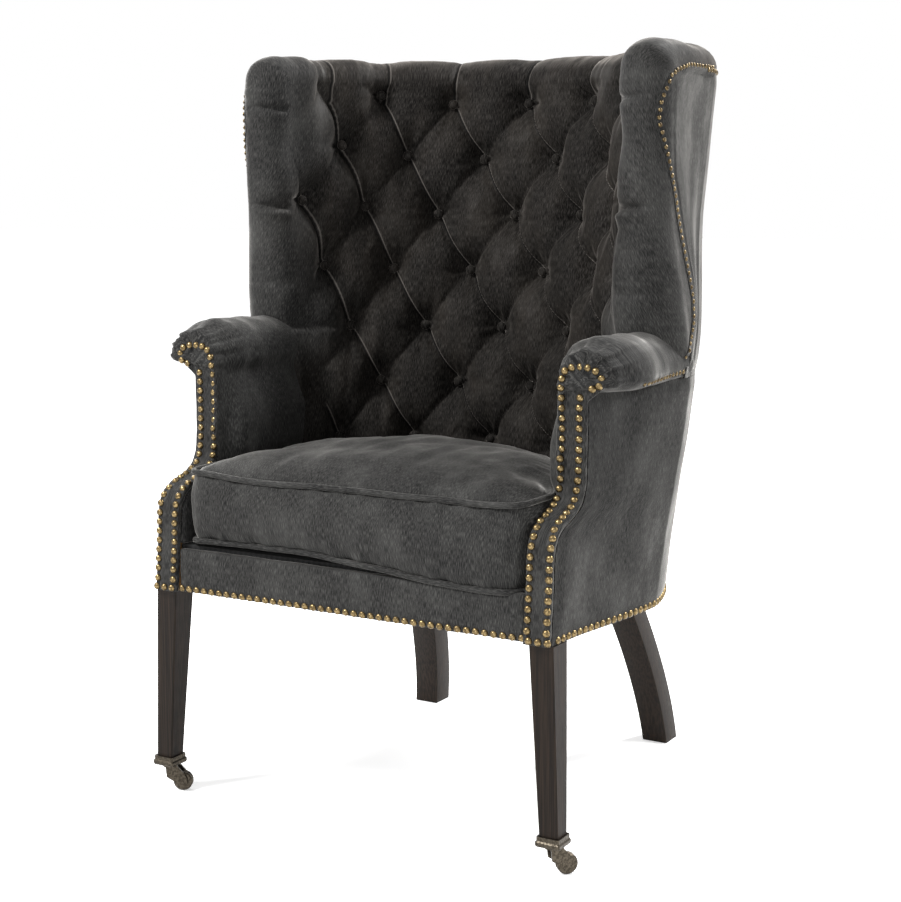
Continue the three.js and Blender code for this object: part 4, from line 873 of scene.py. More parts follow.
def make_back(name):
    """The inside back as one grid, and strips of cloth carried on over its rolled edge."""
    piece = cloth_sheet(name, BACK_COLUMNS, BACK_ROWS, lambda u, v: Vector((u, v, 0)), lambda u, v: (u, v))
    mesh = bmesh.new()
    mesh.from_mesh(piece.data)
    wing = mesh.verts.layers.float.new("on_wing")
    fold = mesh.verts.layers.float.new("falling_seam")
    folded = mesh.verts.layers.float.new("fold_share")
    paint = mesh.loops.layers.uv["cloth"]
    shares = {corner: (corner.co.x, corner.co.y) for corner in mesh.verts}
    flat = {corner: back_place(*share) for corner, share in shares.items()}
    near = 0.01 / BACK_COLUMNS
    left = sorted((c for c in shares if shares[c][0] < near), key=lambda c: shares[c][1])
    right = sorted((c for c in shares if shares[c][0] > 1 - near), key=lambda c: -shares[c][1])
    top = sorted((c for c in shares if shares[c][1] > 1 - near), key=lambda c: shares[c][0])
    rim = left + top[1:-1] + right
    rim_shares = [(round(shares[c][0], 6), round(shares[c][1], 6)) for c in rim]
    rim_flat = [flat[c] for c in rim]
    for corner, share in shares.items():
        corner.co = back_spot(*share)
    ring = rim
    for step in range(1, EDGE_PARTS + WRAP_PARTS + 1):
        outer = []
        for (u, v), (arc, z) in zip(rim_shares, rim_flat):
            if step <= EDGE_PARTS:
                corner = mesh.verts.new(edge_spot(u, v, step / EDGE_PARTS))
            else:
                corner = mesh.verts.new(wrap_spot(u, v, (step - EDGE_PARTS) / WRAP_PARTS))
            across, up = from_corner(arc, z)
            run = step * EDGE_REACH * math.pi / EDGE_PARTS / math.hypot(across, up)
            flat[corner] = (arc + math.copysign(run * across, arc), z + run * up)
            outer.append(corner)
        for a, b, c, d in zip(ring, ring[1:], outer[1:], outer):
            mesh.faces.new((a, b, c, d))
        ring = outer
    for corner, (arc, z) in flat.items():
        corner[wing] = on_wing(arc, z)
        corner[fold], corner[folded] = falling_seam(arc, z)
    for face in mesh.faces:
        for loop in face.loops:
            loop[paint].uv = flat[loop.vert]
    mesh.to_mesh(piece.data)
    mesh.free()
    apply(piece, "SOLIDIFY", thickness=0.004, offset=-1.0)
    shade(piece)
    return piece


def surface_of(*pieces):
    """The faces of pieces, to find where a line from outside first meets them."""
    corners, faces = [], []
    for piece in pieces:
        start = len(corners)
        corners.extend(corner.co.copy() for corner in piece.data.vertices)
        faces.extend([start + index for index in face.vertices] for face in piece.data.polygons)
    return BVHTree.FromPolygons(corners, faces)


def button_places():
    for v in range(LAST_ROW + 1):
        for step in range(-6, 7):
            u = step / 2
            if (step + v) % 2 == 0 and has_button(u, v):
                yield drawn_place(u, v)


def domed_disc(radius, height, segments, rings):
    """A low dome with a turned-in rim, modelled once for all its copies."""
    deselect()
    bpy.ops.mesh.primitive_uv_sphere_add(segments=segments, ring_count=rings, radius=radius)
    piece = bpy.context.object
    edit_whole()
    bpy.ops.mesh.bisect(plane_co=(0, 0, -0.25 * radius), plane_no=(0, 0, 1), clear_inner=True, use_fill=True)
    bpy.ops.mesh.select_all(action="SELECT")
    bpy.ops.transform.resize(value=(1, 1, height / radius))
    bpy.ops.object.mode_set(mode="OBJECT")
    return piece


def copies_of(name, model, places):
    """One piece that holds a copy of a model at each place, turned to face its way."""
    mesh = bmesh.new()
    for spot, way in places:
        turn = way.to_track_quat("Z", "Y").to_matrix().to_4x4()
        turn.translation = spot
        start = len(mesh.verts)
        mesh.from_mesh(model.data)
        mesh.verts.ensure_lookup_table()
        for corner in mesh.verts[start:]:
            corner.co = turn @ corner.co
    data = bpy.data.meshes.new(name)
    mesh.to_mesh(data)
    mesh.free()
    piece = bpy.data.objects.new(name, data)
    bpy.context.scene.collection.objects.link(piece)
    cloth_map(piece, lambda co: (co.x, co.z))
    shade(piece)
    return piece


def make_buttons(name):
    model = domed_disc(BUTTON_RADIUS, BUTTON_HEIGHT, 20, 12)
    places = []
    for arc, z in button_places():
        normal = (inner_point(arc, z, 0.01) - inner_point(arc, z)).normalized()
        places.append((inner_point(arc, z, back_lift(arc, z) + BUTTON_PROUD), normal))
    piece = copies_of(name, model, places)
    bpy.data.objects.remove(model)
    return piece


# Outside panels

SEAM_ANGLE = angle_at_arc(SEAM_ARC)
SIDE_ARC = 0.396
SIDE_ANGLE = angle_at_arc(SIDE_ARC)
SIDE_BEND = 0.42
FACING_DEPTH = 0.0083
SEAM_GAP = 0.0003
TOP_TUCK = 0.003
LAID_GAP = 0.0012
LAID_REACH = 0.02
# Sizes of the panels' cloth, for the run of its threads
ARM_PANEL_RUN = 0.6
ARM_PANEL_RISE = 0.33
WING_PANEL_RUN = 0.45
BACK_PANEL_RUN = 0.46
BACK_PANEL_RISE = 0.774
# Pulled folds behind the facing: slant, height
ARM_PANEL_FOLDS = [(0.060, 0.555), (0.085, 0.575), (0.110, 0.600), (0.070, 0.625)]


def centripetal(points, parts):
    """The smooth line through points that the arm's face follows in the part's source."""
    line = []
    ends = [points[0] * 2 - points[1], *points, points[-1] * 2 - points[-2]]
    for a, b, c, d in zip(ends, ends[1:], ends[2:], ends[3:]):
        steps = [max((q - p).length ** 0.5, 1e-4) for p, q in ((a, b), (b, c), (c, d))]
        start = ((b - a) / steps[0] - (c - a) / (steps[0] + steps[1]) + (c - b) / steps[1]) * steps[1]
        end = ((c - b) / steps[1] - (d - b) / (steps[1] + steps[2]) + (d - c) / steps[2]) * steps[1]
        for part in range(parts):
            t = part / parts
            line.append(
                b * (2 * t**3 - 3 * t**2 + 1) + start * (t**3 - 2 * t**2 + t)
                + c * (3 * t**2 - 2 * t**3) + end * (t**3 - t**2)
            )
    return line + [points[-1]]


FACE_POINTS = [
    (-0.343, 0.322), (-0.3365, 0.389), (-0.330, 0.456), (-0.314, 0.477),
    (-0.258, 0.499), (-0.243, 0.516), (-0.238, 0.559), (-0.238, 0.696),
]
face_line = centripetal([Vector((y + PLAN_SHIFT, z)) for y, z in FACE_POINTS], 12)


def face_inset(depth):
    """The line of the arm's face, a depth behind it, as pairs of y and z."""
    line = []
    for near, far in zip(face_line, face_line[1:]):
        way = (far - near).normalized()
        line.append((near.x + way.y * depth, near.y - way.x * depth))
    return line


behind_facing = face_inset(FACING_DEPTH)


def front_y(z):
    """Reads the line behind the facing from its foot upwards."""
    for near, far in zip(behind_facing, behind_facing[1:]):
        if near[1] <= z <= far[1]:
            return lerp(near[0], far[0], (z - near[1]) / max(far[1] - near[1], 1e-6))
    return behind_facing[0][0] if z < behind_facing[0][1] else behind_facing[-1][0]


def side_spot(u, z, edge, lift):
    """Outside of the body from the rear seam, u 0, round the side to an edge, u 1."""
    if u < SIDE_BEND:
        angle = lerp(SEAM_ANGLE, SIDE_ANGLE, u / SIDE_BEND)
        return outer_point(angle, z, -lift)
    rear = outer_point(SIDE_ANGLE, z)
    share = (u - SIDE_BEND) / (1 - SIDE_BEND)
    if edge is None:
        front = front_y(z)
        ease = share - math.sin(2 * math.pi * share) / (4 * math.pi)
        return Vector((rear.x - (rear.x - FRONT_HALF) * ease + lift, lerp(rear.y, front, share), z))
    return Vector((lerp(rear.x, barrel_half(z), smooth(share, 0, 1)) + lift, lerp(rear.y, edge, share), z))


def panel_lift(u, v, seed, low=0.0008, full=0.0035):
    """Thin stuffing under an outside panel, drawn down along its edges."""
    rim = min(smooth(u, 0, 0.07), smooth(1 - u, 0, 0.05), smooth(v, 0, 0.06), smooth(1 - v, 0, 0.06))
    crumple = noise.noise(Vector((u * 7, v * 5, seed))) * 0.0012
    return low + (full + crumple - low) * rim


def arm_panel_spot(u, v):
    z = lerp(BASE_Z, ARM_SEAM_Z - SEAM_GAP, v)
    lift = panel_lift(u, v, 2.0)
    for slant, at in ARM_PANEL_FOLDS:
        off = (z - at) - (u - 0.98) * slant * 3
        lift += 0.0011 * hump(off, 0, 0.007) * smooth(u, 0.72, 0.90) * (1 - smooth(u, 0.97, 1))
    return side_spot(u, z, None, lift)


def thickened(piece, thickness):
    apply(piece, "SOLIDIFY", thickness=thickness, offset=-1.0)
    shade(piece, 50)
    return piece


def make_outside_arm(name):
    piece = cloth_sheet(
        name, 130, 70,
        lambda u, v: arm_panel_spot(1 - u, v),
        lambda u, v: (-u * ARM_PANEL_RUN, v * ARM_PANEL_RISE),
    )
    return faced_out(thickened(faced_out(piece), PANEL_THICK))


def faced_out(piece):
    """Turns a shell's faces to the outside."""
    only(piece)
    edit_whole()
    bpy.ops.mesh.normals_make_consistent(inside=False)
    bpy.ops.object.mode_set(mode="OBJECT")
    return piece


def make_outside_wing(name, tree):
    """The panel's front edge lies on the rolled edge, under the line of nails."""
    def spot(u, v):
        z = lerp(ARM_SEAM_Z + SEAM_GAP, PANEL_TOP_Z + TOP_TUCK, v)
        place = side_spot(u, z, wing_edge_y(z) - 0.005, panel_lift(u, v, 5.0))
        hit = tree.ray_cast(Vector((1, place.y, place.z)), Vector((-1, 0, 0)))[0]
        if hit and u > SIDE_BEND and abs(hit.x - place.x) < LAID_REACH:
            laid = hit.x + LAID_GAP
            place.x = max(laid, lerp(place.x, laid, smooth(u, 0.5, 0.9)))
        return place
    piece = cloth_sheet(
        name, 90, 110, lambda u, v: spot(1 - u, v), lambda u, v: (-u * WING_PANEL_RUN, v * WING_PANEL_RUN)
    )
    return faced_out(thickened(faced_out(piece), PANEL_THICK))


def make_outside_back(name):
    def spot(u, v):
        z = lerp(BASE_Z, PANEL_TOP_Z - SEAM_GAP, v)
        return outer_point(lerp(SEAM_ANGLE, -SEAM_ANGLE, u), z, -panel_lift(u, v, 8.0))
    piece = cloth_sheet(name, 100, 130, spot, lambda u, v: (-u * BACK_PANEL_RUN, v * BACK_PANEL_RISE))
    return faced_out(thickened(faced_out(piece), PANEL_THICK))


# Arms, facings and front band

ROLL_X = ARM_INNER_X + ROLL_HALF_WIDTH
ROLL_Z = ARM_TOP_Z - ROLL_HALF_HEIGHT
ARM_FRONT_Y = FACE_UPPER_Y + PLAN_SHIFT + 0.008
ARM_LEAD = 0.014
ARM_BULGE = 0.028
ARM_PLUMP = 0.012
ARM_OUTWARD = 0.010
REAR_REACH = 0.055


def arm_push(co, normal):
    """Plumps the arm and gathers the cloth round its scroll."""
    heading = math.atan2(co.z - ROLL_Z, co.x - ROLL_X)
    behind = max(co.y - ARM_FRONT_Y, 0)
    on_roll = smooth(co.z, ROLL_Z - 0.03, ROLL_Z)
    gather = 0.0011 * math.cos(heading * 26) * math.exp(-behind / 0.022) * on_roll
    gather += 0.0016 * math.cos(heading * 11 + 1.0) * math.exp(-behind / 0.040) * on_roll
    ahead = ARM_LEAD * smooth(-normal.y, 0.2, 0.8) * smooth(co.z, 0.50, 0.56)
    fore = 1 - smooth(co.y, ARM_REAR_Y - 0.14, ARM_REAR_Y - 0.02)
    plump = ARM_PLUMP * smooth(behind, -0.002, 0.045) * on_roll * lerp(0.75, 1, fore)
    crumple = 0.0018 * noise.noise(Vector((co.x / 0.04, co.y / 0.03, co.z / 0.07)))
    inward = ARM_BULGE * smooth(-normal.x, 0.0, 0.7) * smooth(co.z, 0.46, 0.53) * smooth(behind, -0.004, 0.03)
    inward *= 1 - 0.75 * smooth(co.z, 0.56, 0.66)
    above_hook = smooth(co.z - ROLL_HOOK_Z, -0.004, 0.012)
    outward = ARM_OUTWARD * fore * smooth(normal.x, 0.0, 0.8) * above_hook
    rear = REAR_REACH * smooth(co.y, ARM_REAR_Y - 0.05, ARM_REAR_Y)
    return normal * (gather + plump + crumple) + Vector((outward - inward, rear - ahead, 0))


def make_arm(name):
    return stuffed("inside_arm_right", name, 3.6 * MM, 14, lambda co: (co.y, co.z + co.x), arm_push)


def band_push(co, normal):
    crumple = noise.noise(Vector((co.x / 0.05, co.z / 0.03, 4.0)))
    return normal * 0.0008 * crumple


def make_facing(name):
    return stuffed("arm_facing_right", name, 1.8 * MM, 5, lambda co: (co.x, co.z - co.y), band_push)


def make_band(name):
    return stuffed("front_band", name, 2.6 * MM, 8, lambda co: (co.x, co.z), band_push)


# Seat cushion

def cushion_outline(inset, parts=12):
    """Plan of the cushion, anticlockwise from the middle of its front."""
    half = CUSHION_HALF - inset
    front = CUSHION_FRONT_Y + inset
    corner = max(CUSHION_CORNER - inset, WELT_RADIUS)
    right = [(lerp(0, half - corner, i / parts), front) for i in range(parts)]
    for i in range(parts + 1):
        turn = i / parts * QUARTER
        right.append((half - corner + corner * math.sin(turn), front + corner - corner * math.cos(turn)))
    right += [(half, lerp(front + corner, CUSHION_CENTRE_Y, i / parts)) for i in range(1, parts)]
    for i in range(2 * parts + 1):
        turn = i / (2 * parts) * QUARTER
        rear = CUSHION_CENTRE_Y + (CUSHION_REAR_DEPTH - inset) * math.sin(turn)
        right.append((half * math.cos(turn), rear))
    left = [(-x, y) for x, y in reversed(right[1:-1])]
    return [(x, y + PLAN_SHIFT) for x, y in right + left]


WELT_REACH = 0.0045
WELT_LOW_Z = PAD_BOTTOM_Z + SEAM_GAP + WELT_REACH
WELT_HIGH_Z = WELT_LOW_Z + CUSHION_BOX
SIM_FRAMES = 20
SIM_PRESSURE = 4.0
CUSHION_SWELL = 0.024
CUSHION_TOP_Z = WELT_HIGH_Z + CUSHION_CROWN + 0.004
CUSHION_BELLY = 0.012
# The cushion narrows between the arms, by a share of its width
NARROWING = 0.075
NARROW_FROM_Y = -0.245
NARROW_TO_Y = -0.175


def narrow_share(y):
    return NARROWING * smooth(y, NARROW_FROM_Y, NARROW_TO_Y)


def welt_wave(x, y, z):
    """The piping wanders a little, dips where the front is sat on and lifts underneath."""
    wave = 0.0030 * noise.noise(Vector((x / 0.085, y / 0.09, 1.0 + z * 9)))
    front = smooth(-y, 0.18, 0.30)
    if z > WELT_HIGH_Z - 0.02:
        return wave - front * (0.0050 * hump(x, -0.10, 0.13) + 0.0040 * hump(x, 0.17, 0.09))
    hang = 0.0110 * smooth(x, 0.0, 0.22)
    return wave + front * (0.0075 * hump(x, -0.10, 0.13) + 0.004 * hump(x, -0.25, 0.05) - hang)


def welt_ahead(x, y, z):
    """Low down, the front of the cushion slides forward over the band."""
    low = 1 - smooth(z, WELT_LOW_Z, WELT_HIGH_Z)
    return 0.011 * smooth(x, -0.22, 0.16) * smooth(-y, 0.20, 0.30) * low


def make_cushion(name):
    """The form of the frame's cushion, blown up between its piped edges by the cloth tool."""
    piece = merged_copy("seat_cushion", name)
    only(piece)
    piece.data.remesh_voxel_size = 5.5 * MM
    bpy.ops.object.voxel_remesh()
    apply(piece, "SMOOTH", iterations=4, factor=0.5)
    rest = [corner.co.copy() for corner in piece.data.vertices]
    held = piece.vertex_groups.new(name="piped_edges")
    held.add([i for i, co in enumerate(rest) if on_welt(co)], 1.0, "REPLACE")
    held.add([i for i, co in enumerate(rest) if co.z < PAD_BOTTOM_Z + 0.004], 1.0, "REPLACE")
    inflate(piece, rest)
    apply(piece, "SUBSURF", levels=1, render_levels=1)
    normals = [corner.normal.copy() for corner in piece.data.vertices]
    for corner, normal in zip(piece.data.vertices, normals):
        corner.co += cushion_push(corner.co, normal)
    cloth_map(piece, lambda co: (co.x, co.y + co.z))
    shade(piece)
    return piece


def on_welt(co):
    near_level = min(abs(co.z - WELT_LOW_Z), abs(co.z - WELT_HIGH_Z)) < WELT_REACH
    return near_level and outside_share(co) > 0.975


def outside_share(co):
    """How far out a place lies in the cushion's plan: 1 on its outline."""
    y = co.y - PLAN_SHIFT
    if y > CUSHION_CENTRE_Y:
        return math.hypot(co.x / CUSHION_HALF, (y - CUSHION_CENTRE_Y) / CUSHION_REAR_DEPTH)
    front = (CUSHION_CENTRE_Y - y) / (CUSHION_CENTRE_Y - CUSHION_FRONT_Y)
    return max(abs(co.x) / CUSHION_HALF, front)


def inflate(piece, rest):
    """Blows the cushion up as cloth, then holds each corner near where it began."""
    scene = bpy.context.scene
    only(piece)
    cloth = piece.modifiers.new("cloth", "CLOTH")
    settings = cloth.settings
    settings.quality = 5
    settings.mass = 0.3
    settings.use_pressure = True
    settings.uniform_pressure_force = SIM_PRESSURE
    settings.vertex_group_mass = "piped_edges"
    settings.effector_weights.gravity = 0
    cloth.point_cache.frame_start, cloth.point_cache.frame_end = 1, SIM_FRAMES
    for step in range(1, SIM_FRAMES + 1):
        scene.frame_set(step)
    bpy.ops.object.modifier_apply(modifier=cloth.name)
    scene.frame_set(1)
    for corner, start in zip(piece.data.vertices, rest):
        move = corner.co - start
        if move.length > CUSHION_SWELL:
            corner.co = start + move.normalized() * CUSHION_SWELL
        corner.co.z = min(corner.co.z, CUSHION_TOP_Z)


def cushion_push(co, normal):
    """Soft dents of use on top, and small puckers drawn in by the piping."""
    on_top = smooth(co.z, WELT_HIGH_Z, WELT_HIGH_Z + 0.015)
    dents = 0.0045 * noise.noise(Vector((co.x / 0.12, co.y / 0.09, 2.0))) * on_top
    crumple = 0.0022 * noise.noise(Vector((co.x / 0.030, co.y / 0.05, co.z / 0.045)))
    edge = min(abs(co.z - WELT_LOW_Z), abs(co.z - WELT_HIGH_Z))
    rim = smooth(outside_share(co), 0.80, 0.98)
    pucker = 0.0016 * math.cos((co.x + co.y * 0.6) / 0.0065) * math.exp(-edge / 0.016) * rim
    share = clamp((co.z - WELT_LOW_Z) / CUSHION_BOX)
    belly = CUSHION_BELLY * math.sin(math.pi * share) * rim
    groove = -0.0030 * math.exp(-((edge / 0.0065) ** 2)) * rim
    wave = lerp(welt_wave(co.x, co.y, WELT_LOW_Z), welt_wave(co.x, co.y, WELT_HIGH_Z), share)
    narrow = -co.x * narrow_share(co.y)
    ahead = welt_ahead(co.x, co.y, co.z) * rim
    return normal * (dents + crumple + pucker + belly + groove) + Vector((narrow, -ahead, wave * rim))


def cord_tube(name, spots, radius, closed=True):
    """A round piped edge along a line of points."""
    deselect()
    curve = bpy.data.curves.new(name, "CURVE")
    curve.dimensions = "3D"
    curve.bevel_depth = radius
    curve.bevel_resolution = 3
    curve.use_fill_caps = True
    line = curve.splines.new("POLY")
    line.points.add(len(spots) - 1)
    for point, spot in zip(line.points, spots):
        point.co = (*spot, 1)
    line.use_cyclic_u = closed
    piece = bpy.data.objects.new(name, curve)
    bpy.context.scene.collection.objects.link(piece)
    only(piece)
    bpy.ops.object.convert(target="MESH")
    piece = bpy.context.object
    piece.name = piece.data.name = name
    cloth_map(piece, lambda co: (co.z, co.x + co.y))
    shade(piece)
    return piece


def fine_outline(inset):
    """The cushion's outline in steps of a few millimetres."""
    ends = cushion_outline(inset)
    spots = []
    for near, far in zip(ends, ends[1:] + ends[:1]):
        count = max(1, round(math.dist(near, far) / 0.006))
        spots += [(lerp(near[0], far[0], i / count), lerp(near[1], far[1], i / count)) for i in range(count)]
    return spots


def make_piping(name):
    rows = []
    for level in (WELT_LOW_Z, WELT_HIGH_Z):
        spots = []
        for x, y in fine_outline(0.0015):
            ahead = y - welt_ahead(x, y, level)
            spots.append((x * (1 - narrow_share(y)), ahead, level + welt_wave(x, y, level)))
        rows.append(cord_tube(f"{name}_row", spots, WELT_RADIUS))
    return joined(name, rows)


# Nails

def spaced(points, pitch):
    """Points a pitch apart along a line of points."""
    spots = [Vector(points[0])]
    left = pitch
    for near, far in zip(points, points[1:]):
        near, far = Vector(near), Vector(far)
        length = (far - near).length
        while left <= length:
            spots.append(near.lerp(far, left / length))
            left += pitch
        left -= length
    return spots


# Where a nail's line of sight starts, how deep it sits and how far it turns to its way
FAR_START = 0.6
NEAR_START = 0.05
NAIL_SINK = 0.0004
SMALL_NAIL_SINK = 0.0003
NAIL_TURN = 0.6


def driven(spots, way, tree):
    """Where nails driven along a way meet a surface, and how they face."""
    found = []
    for spot in spots:
        hit, normal = tree.ray_cast(spot - way * FAR_START, way)[:2]
        if hit:
            facing = normal if normal.dot(way) < 0 else -normal
            found.append((hit - facing * NAIL_SINK, (facing - way * NAIL_TURN).normalized()))
    return found


def driven_in(spots, middle, tree, sink):
    """The same for nails driven from all round towards a middle, square to the surface."""
    found = []
    for spot in spots:
        way = (middle(spot) - spot).normalized()
        hit, normal = tree.ray_cast(spot - way * NEAR_START, way)[:2]
        if hit:
            found.append((hit + way * sink, normal if normal.dot(way) < 0 else -normal))
    return found


LOWER_NAIL_Z = 0.328
LOWER_NAIL_ENDS_X = (-0.331, 0.332)
CREST_NAIL_Z = 1.0935
# Centre lines of the nails on the front of the right arm: x, z
FACING_NAILS_OUTER = [
    (0.3295, 0.341), (0.3295, 0.462), (0.326, 0.476), (0.3235, 0.510), (0.3235, 0.640), (0.3265, 0.652),
]
FACING_NAILS_INNER = [
    (0.3005, 0.341), (0.3005, 0.470), (0.2985, 0.490), (0.2975, 0.510), (0.2975, 0.655), (0.2995, 0.672),
    (0.3065, 0.6830), (0.3200, 0.6855), (0.3350, 0.6860), (0.3480, 0.6830), (0.3570, 0.6750),
    (0.3590, 0.6660), (0.3520, 0.6580), (0.3390, 0.6560),
]


def make_facing_nails(name, tree, model):
    places = []
    for line in (FACING_NAILS_OUTER, FACING_NAILS_INNER):
        spots = slope_spaced([(x, 0, z) for x, z in line], tree)
        places += driven(spots, Vector((0, 1, 0)), tree)
    return copies_of(name, model, places)


def slope_spaced(line, tree):
    """Nail spots a pitch apart over the surface, also where it runs back along a slope."""
    fine = spaced(line, MM)
    seen, spots, run = None, [], NAIL_PITCH
    for spot in fine:
        hit = tree.ray_cast(spot - Vector((0, FAR_START, 0)), Vector((0, 1, 0)))[0]
        if hit is None:
            continue
        if seen is not None:
            run += (hit - seen).length
        if run >= NAIL_PITCH:
            spots.append(spot)
            run -= NAIL_PITCH
        seen = hit
    return spots


def make_base_nails(name, tree, model):
    """One row along the lower edge, right round the chair."""
    front = spaced([(x, 0, LOWER_NAIL_Z) for x in LOWER_NAIL_ENDS_X], NAIL_PITCH)
    side = [side_spot(1 - step / 180, LOWER_NAIL_Z, None, 0) for step in range(180)]
    rear = [outer_point(lerp(SEAM_ANGLE, -SEAM_ANGLE, i / 60), LOWER_NAIL_Z) for i in range(61)]
    other = [Vector((-spot.x, spot.y, spot.z)) for spot in reversed(side)]
    round_back = spaced([tuple(spot) for spot in side + rear + other], NAIL_PITCH)[1:-1]
    places = driven(front, Vector((0, 1, 0)), tree)
    places += driven_in(round_back, lambda spot: Vector((0, min(spot.y, -0.05), spot.z)), tree, NAIL_SINK)
    return copies_of(name, model, places)


# Nails under the arm, listed and placed in the same way: y, z
UNDER_ARM_NAILS = [(-0.170, 0.6590), (-0.1125, 0.6600), (-0.060, 0.6610), (-0.012, 0.6620)]


def make_side_nails(name, tree, model):
    """Small nails round the outer edge of the wing and back, and under the arm."""
    wing = spaced([(0, y, z) for y, z in WING_NAIL_LINE], SMALL_NAIL_PITCH)
    arm = spaced([(0, y, z) for y, z in UNDER_ARM_NAILS], SMALL_NAIL_PITCH * 1.2)
    places = driven([spot + Vector((1, 0, 0)) for spot in wing + arm], Vector((-1, 0, 0)), tree)
    return copies_of(name, model, places)


def make_crest_nails(name, tree, model):
    line = [outer_point(lerp(QUARTER, -QUARTER, i / 90), CREST_NAIL_Z) for i in range(91)]
    spots = spaced([tuple(spot) for spot in line], SMALL_NAIL_PITCH)
    places = driven_in(spots, lambda spot: Vector((0, BARREL_HIGH_Y, spot.z)), tree, SMALL_NAIL_SINK)
    return copies_of(name, model, places)


# Rear legs

REAR_LEG_LINE = [(0.182, 0.164, BASE_Z - 0.0003), (0.212, 0.280, 0.130), (0.225, 0.292, 0.0)]
REAR_TOP_SIZE = 0.049
REAR_FOOT_SIZE = 0.044
LEG_EDGE = 1.6 * MM


def make_rear_leg(name):
    """A square leg swept back on one curve, its edges eased."""
    deselect()
    bpy.ops.mesh.primitive_cube_add(size=1)
    piece = bpy.context.object
    piece.name = piece.data.name = name
    bpy.ops.object.mode_set(mode="EDIT")
    bpy.ops.mesh.select_all(action="DESELECT")
    mesh = bmesh.from_edit_mesh(piece.data)
    upright = [edge for edge in mesh.edges if abs(edge.verts[0].co.z - edge.verts[1].co.z) > 0.5]
    bmesh.ops.subdivide_edges(mesh, edges=upright, cuts=23, use_grid_fill=True)
    bmesh.update_edit_mesh(piece.data)
    bpy.ops.object.mode_set(mode="OBJECT")
    start, middle, end = (Vector(spot) for spot in REAR_LEG_LINE)
    for corner in piece.data.vertices:
        t = 0.5 - corner.co.z
        centre = start * (1 - t) ** 2 + middle * (2 * t * (1 - t)) + end * t**2
        size = lerp(REAR_TOP_SIZE, REAR_FOOT_SIZE, t)
        corner.co = centre + Vector((corner.co.x * size, corner.co.y * size + PLAN_SHIFT, 0))
    apply(piece, "BEVEL", width=LEG_EDGE, segments=3, limit_method="ANGLE")
    faced_out(piece)
    shade(piece, 40)
    return piece


# Build

def side_of(piece):
    return piece.name.rsplit("_", 1)[1]


back = make_back("tufted_back_and_wings")
upholster(back, tuft_velvet, 0.9, "tufted_velvet", "tufted_back", "wing_roll_right", "wing_roll_left")
back_tree = surface_of(back)

buttons = make_buttons("covered_buttons")
fit(buttons, tuft_velvet, "tufted_velvet")

for piece in both(make_outside_wing, "outside_wing_cover", back_tree):
    upholster(piece, outer_velvet, 1.0, "velvet", f"outside_wing_{side_of(piece)}")
for piece in both(make_outside_arm, "outside_arm_cover"):
    upholster(piece, outer_velvet, 1.0, "velvet", f"outside_arm_{side_of(piece)}")
rear_cover = make_outside_back("outside_back_cover")
upholster(rear_cover, outer_velvet, 1.0, "velvet", "outside_back")
for piece in both(make_arm, "arm_pad"):
    upholster(piece, outer_velvet, 0.9, "velvet", f"inside_arm_{side_of(piece)}")
for piece in both(make_facing, "arm_facing_cover"):
    upholster(piece, outer_velvet, 1.0, "velvet", f"arm_facing_{side_of(piece)}")
band = make_band("front_band_cover")
upholster(band, outer_velvet, 1.0, "velvet", "front_band")
cushion = make_cushion("seat_cushion_cover")
upholster(cushion, outer_velvet, 0.8, "velvet", "seat_cushion", body="cushion")
piping = make_piping("cushion_piping")
fit(piping, outer_velvet, "velvet", body="cushion")

shell_tree = surface_of(*(bpy.data.objects[name] for name in (
    "tufted_back_and_wings", "outside_wing_cover_right", "outside_wing_cover_left", "outside_arm_cover_right",
    "outside_arm_cover_left", "outside_back_cover", "arm_pad_right", "arm_pad_left",
    "arm_facing_cover_right", "arm_facing_cover_left", "front_band_cover",
)))
nail = domed_disc(NAIL_RADIUS, NAIL_HEIGHT, 14, 8)
small_nail = domed_disc(SMALL_NAIL_RADIUS, SMALL_NAIL_HEIGHT, 10, 6)
for piece in both(make_facing_nails, "facing_nails", shell_tree, nail):
    fit(piece, nail_brass, "aged_brass")
base_nails = make_base_nails("lower_edge_nails", shell_tree, nail)
fit(base_nails, nail_brass, "aged_brass")
for piece in both(make_side_nails, "wing_nails", shell_tree, small_nail):
    fit(piece, small_brass, "aged_brass")
crest_nails = make_crest_nails("crest_nails", shell_tree, small_nail)
fit(crest_nails, small_brass, "aged_brass")
bpy.data.objects.remove(nail)
bpy.data.objects.remove(small_nail)

for piece in both(make_rear_leg, "sabre_leg"):
    fit(piece, leg_wood, "leg_wood", f"rear_leg_{side_of(piece)}")

# Nodes of the frame that stay, with their finishes
NODE_FINISHES = {
    "frame_wood": frame_wood,
    "leg_wood": leg_wood,
    "jute": jute,
    "lining": lining,
    "aged_brass": caster_brass,
    "velvet": outer_velvet,
    "tufted_velvet": tuft_velvet,
}
slots = {row["node"]: row["material_slot"] for row in frame["record"]["subparts"]}
for node, solid in frame["nodes"].items():
    solid.data.materials.clear()
    solid.data.materials.append(NODE_FINISHES[slots[node]])


# Stage: floor, light and camera

FLOOR_SIZE = 60
# The floor's own glow, for the camera alone: less near the chair, so that its shadow shows
NEAR_GLOW = 0.50
FAR_GLOW = 1.0
NEAR_REACH = 0.45
FAR_REACH = 1.6
WORLD_LIGHT = 0.20

# Lamps: place, where they point, size, power
LAMPS = {
    "key": ((-1.5, -2.0, 3.0), (0, 0, 0.7), 0.8, 150),
    "side": ((2.8, 0.9, 2.2), (0.2, 0, 0.6), 0.7, 55),
    "far_side": ((-2.6, 1.0, 1.8), (0, 0, 0.7), 0.9, 45),
    "front": ((1.0, -3.4, 1.0), (0, 0, 0.45), 1.4, 26),
    "behind": ((1.1, 1.9, 3.3), (0, 0, 0.7), 0.7, 180),
}

